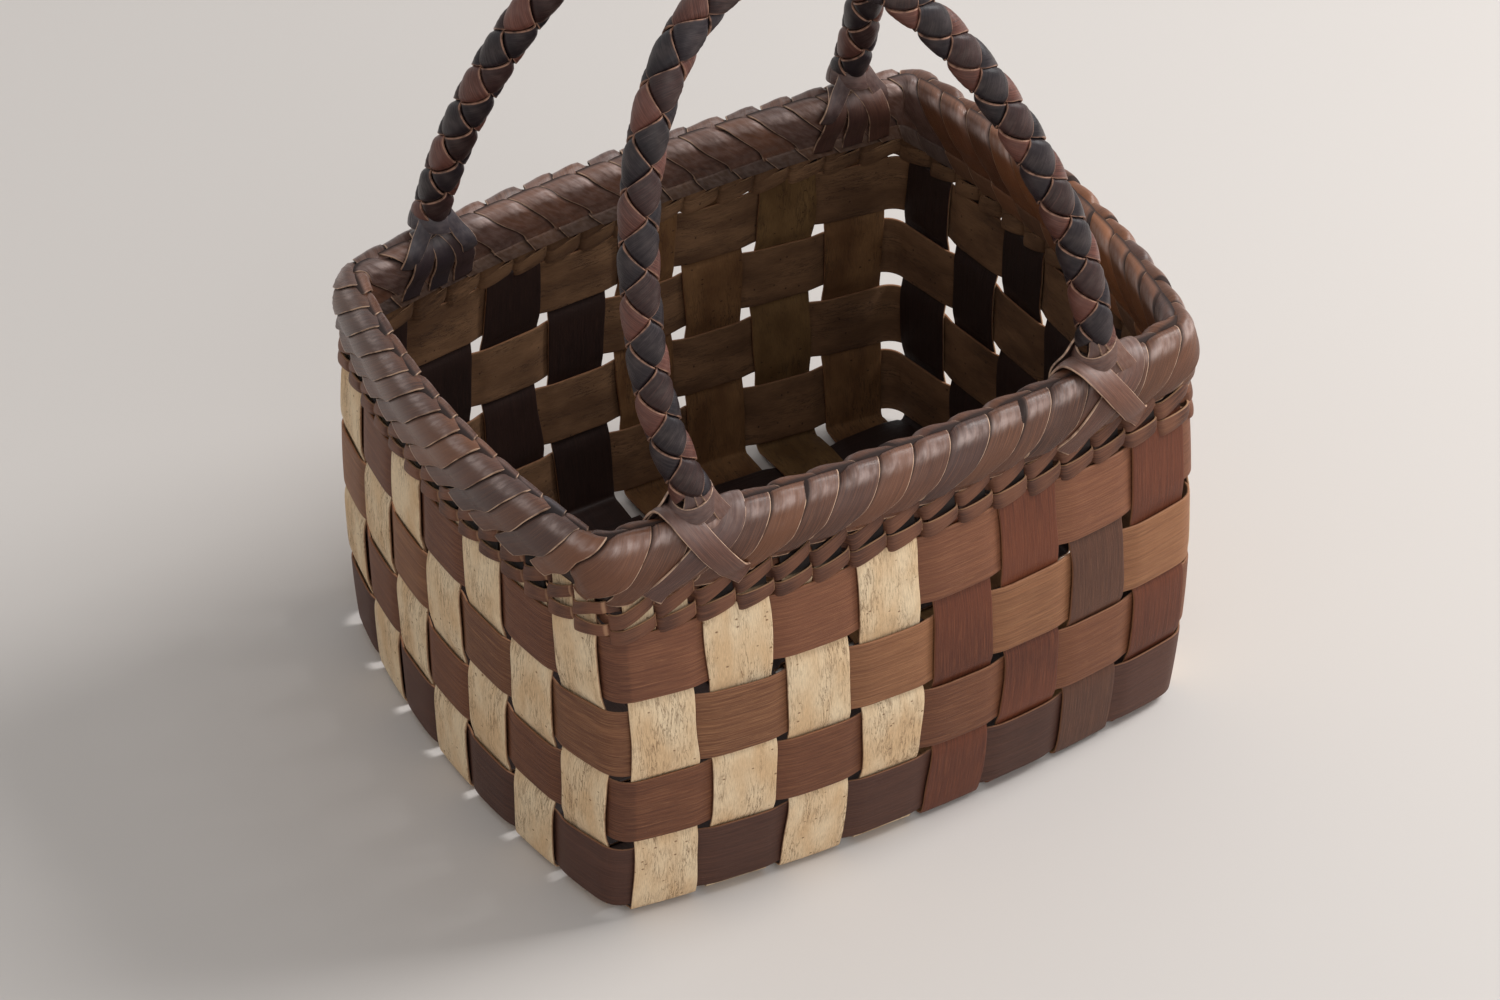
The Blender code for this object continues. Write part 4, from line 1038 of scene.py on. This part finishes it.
for label, way, foot_x, foot_y, dye in FEET:
    handle, near = label.split("_")[0], way > 0
    s_foot = long_wall_s(foot_x / 1.005)
    s_foot = s_foot if near else 2 * QUARTER - s_foot
    over = add_piece(f"{label}_hooked_strap_over",
                     [laid_strap(s_foot, NEAR_OVER if near else FAR_OVER, -0.1, dye)], lash_bark)
    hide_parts(f"{label}_lash_over")
    unders = [laid_strap(s_foot, NEAR_UNDER if near else FAR_UNDER, 0.1, dye + 0.1)]
    if not near:
        unders.append(laid_strap(s_foot, FAR_FAN, 0.15, dye + 0.15))
    under = add_piece(f"{label}_hooked_strap_under", unders, lash_bark)
    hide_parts(f"{label}_lash_under")
    for piece in (over, under):
        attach(piece, "basket")

    foot = np.array([foot_x, foot_y, HANDLE_LINE_Z])
    axes = np.array([[way, 0.0, 0.0], [0.0, -way, 0.0], [0.0, 0.0, 1.0]])
    ends = [free_strap(foot + END_LINE * (u, v, 1) @ axes, END_FACE * (u, v, 1) @ axes, 0.1 * k,
                       dye + 0.12 * k)
            for k, (u, v) in enumerate(NEAR_ENDS if near else FAR_ENDS)]
    ends_piece = add_piece(f"{label}_braid_ends", ends, lash_bark)
    turn = np.linspace(0, 2 * math.pi, 24, endpoint=False)
    turn = np.append(turn, turn[0])
    ring = np.stack([6.4 * np.cos(turn), 6.2 * np.sin(turn), -2.6 + 2.4 * np.cos(turn + 0.5)], -1) * MM
    face = np.stack([np.cos(turn), np.sin(turn), 0.25 + 0 * turn], -1)
    wound = free_strap(foot + ring @ axes, face @ axes, 0.1, dye + 0.2, 72)
    wound_piece = add_piece(f"{label}_wound_strap", [wound], lash_bark)
    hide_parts(f"{label}_collar")
    for piece in (ends_piece, wound_piece):
        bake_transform(piece)


# Setting: a plain pale floor, a large soft lamp from the right and behind, a
# weaker one from the left and front, and an even sky.
FLOOR_REACH, FLOOR_DROP = 4.0, 0.3 * MM
floor_material, tree = new_finish("pale floor")
shader = put(tree, "BsdfPrincipled", {"Base Color": paint(206, 200, 195), "Roughness": 0.9})
put(tree, "OutputMaterial", {"Surface": shader.outputs[0]})
mesh = bpy.data.meshes.new("floor")
mesh.from_pydata([(x * FLOOR_REACH, y * FLOOR_REACH, 0) for x, y in ((-1, -1), (1, -1), (1, 1), (-1, 1))],
                 [], [(0, 1, 2, 3)])
mesh.materials.append(floor_material)
floor = show("floor", mesh)
floor.location.z = -FLOOR_DROP

world = bpy.data.worlds.new("even sky")
bpy.context.scene.world = world
world.use_nodes = True
tree = world.node_tree
tree.nodes.clear()
ray = put(tree, "LightPath")
seen = reckon(tree, "MAXIMUM", ray.outputs["Is Camera Ray"], ray.outputs["Is Transmission Ray"])
seen = reckon(tree, "MAXIMUM", seen, ray.outputs["Is Glossy Ray"])
strength = blend_number(tree, seen, 0.48, 1.0)
sky = put(tree, "Background", {"Color": (1.0, 1.0, 1.0, 1.0), "Strength": strength})
put(tree, "OutputWorld", {"Surface": sky.outputs[0]})


def placed(eye, back):
    """The place of a lamp or camera at eye with its back turned that way, and its right side level."""
    back = unit(np.array(back, float))
    right = unit(np.cross([0.0, 0.0, 1.0], back))
    rows = np.stack([right, np.cross(back, right), back, eye], -1).tolist()
    return Matrix(rows + [[0, 0, 0, 1]])


LAMPS = (("window lamp", (1.25, -0.25, 1.25), (0.0, 0.0, 0.08), 0.7, 26.0),
         ("fill lamp", (-0.1, -1.55, 0.9), (0.0, 0.0, 0.1), 1.2, 6.0))
for name, place, aim, size, power in LAMPS:
    light = bpy.data.lights.new(name, "AREA")
    light.size = size
    light.energy = power
    show(name, light).matrix_world = placed(place, np.subtract(place, aim))

AZIMUTH, ELEVATION = math.radians(-30.848), math.radians(38.903)
CAMERA_PLACE = (-0.75641, -1.25859, 1.24834)
FOCAL_PIXELS, PHOTO_WIDTH, SENSOR = 5991.0, 1500, 36.0
lens = bpy.data.cameras.new("camera")
lens.sensor_width = SENSOR
lens.lens = FOCAL_PIXELS / PHOTO_WIDTH * SENSOR
lens.clip_start = 0.01
camera = show("camera", lens)
camera.matrix_world = placed(CAMERA_PLACE, (math.sin(AZIMUTH) * math.cos(ELEVATION),
                                            -math.cos(AZIMUTH) * math.cos(ELEVATION), math.sin(ELEVATION)))
bpy.context.scene.camera = camera
bpy.context.scene.view_settings.view_transform = "Standard"
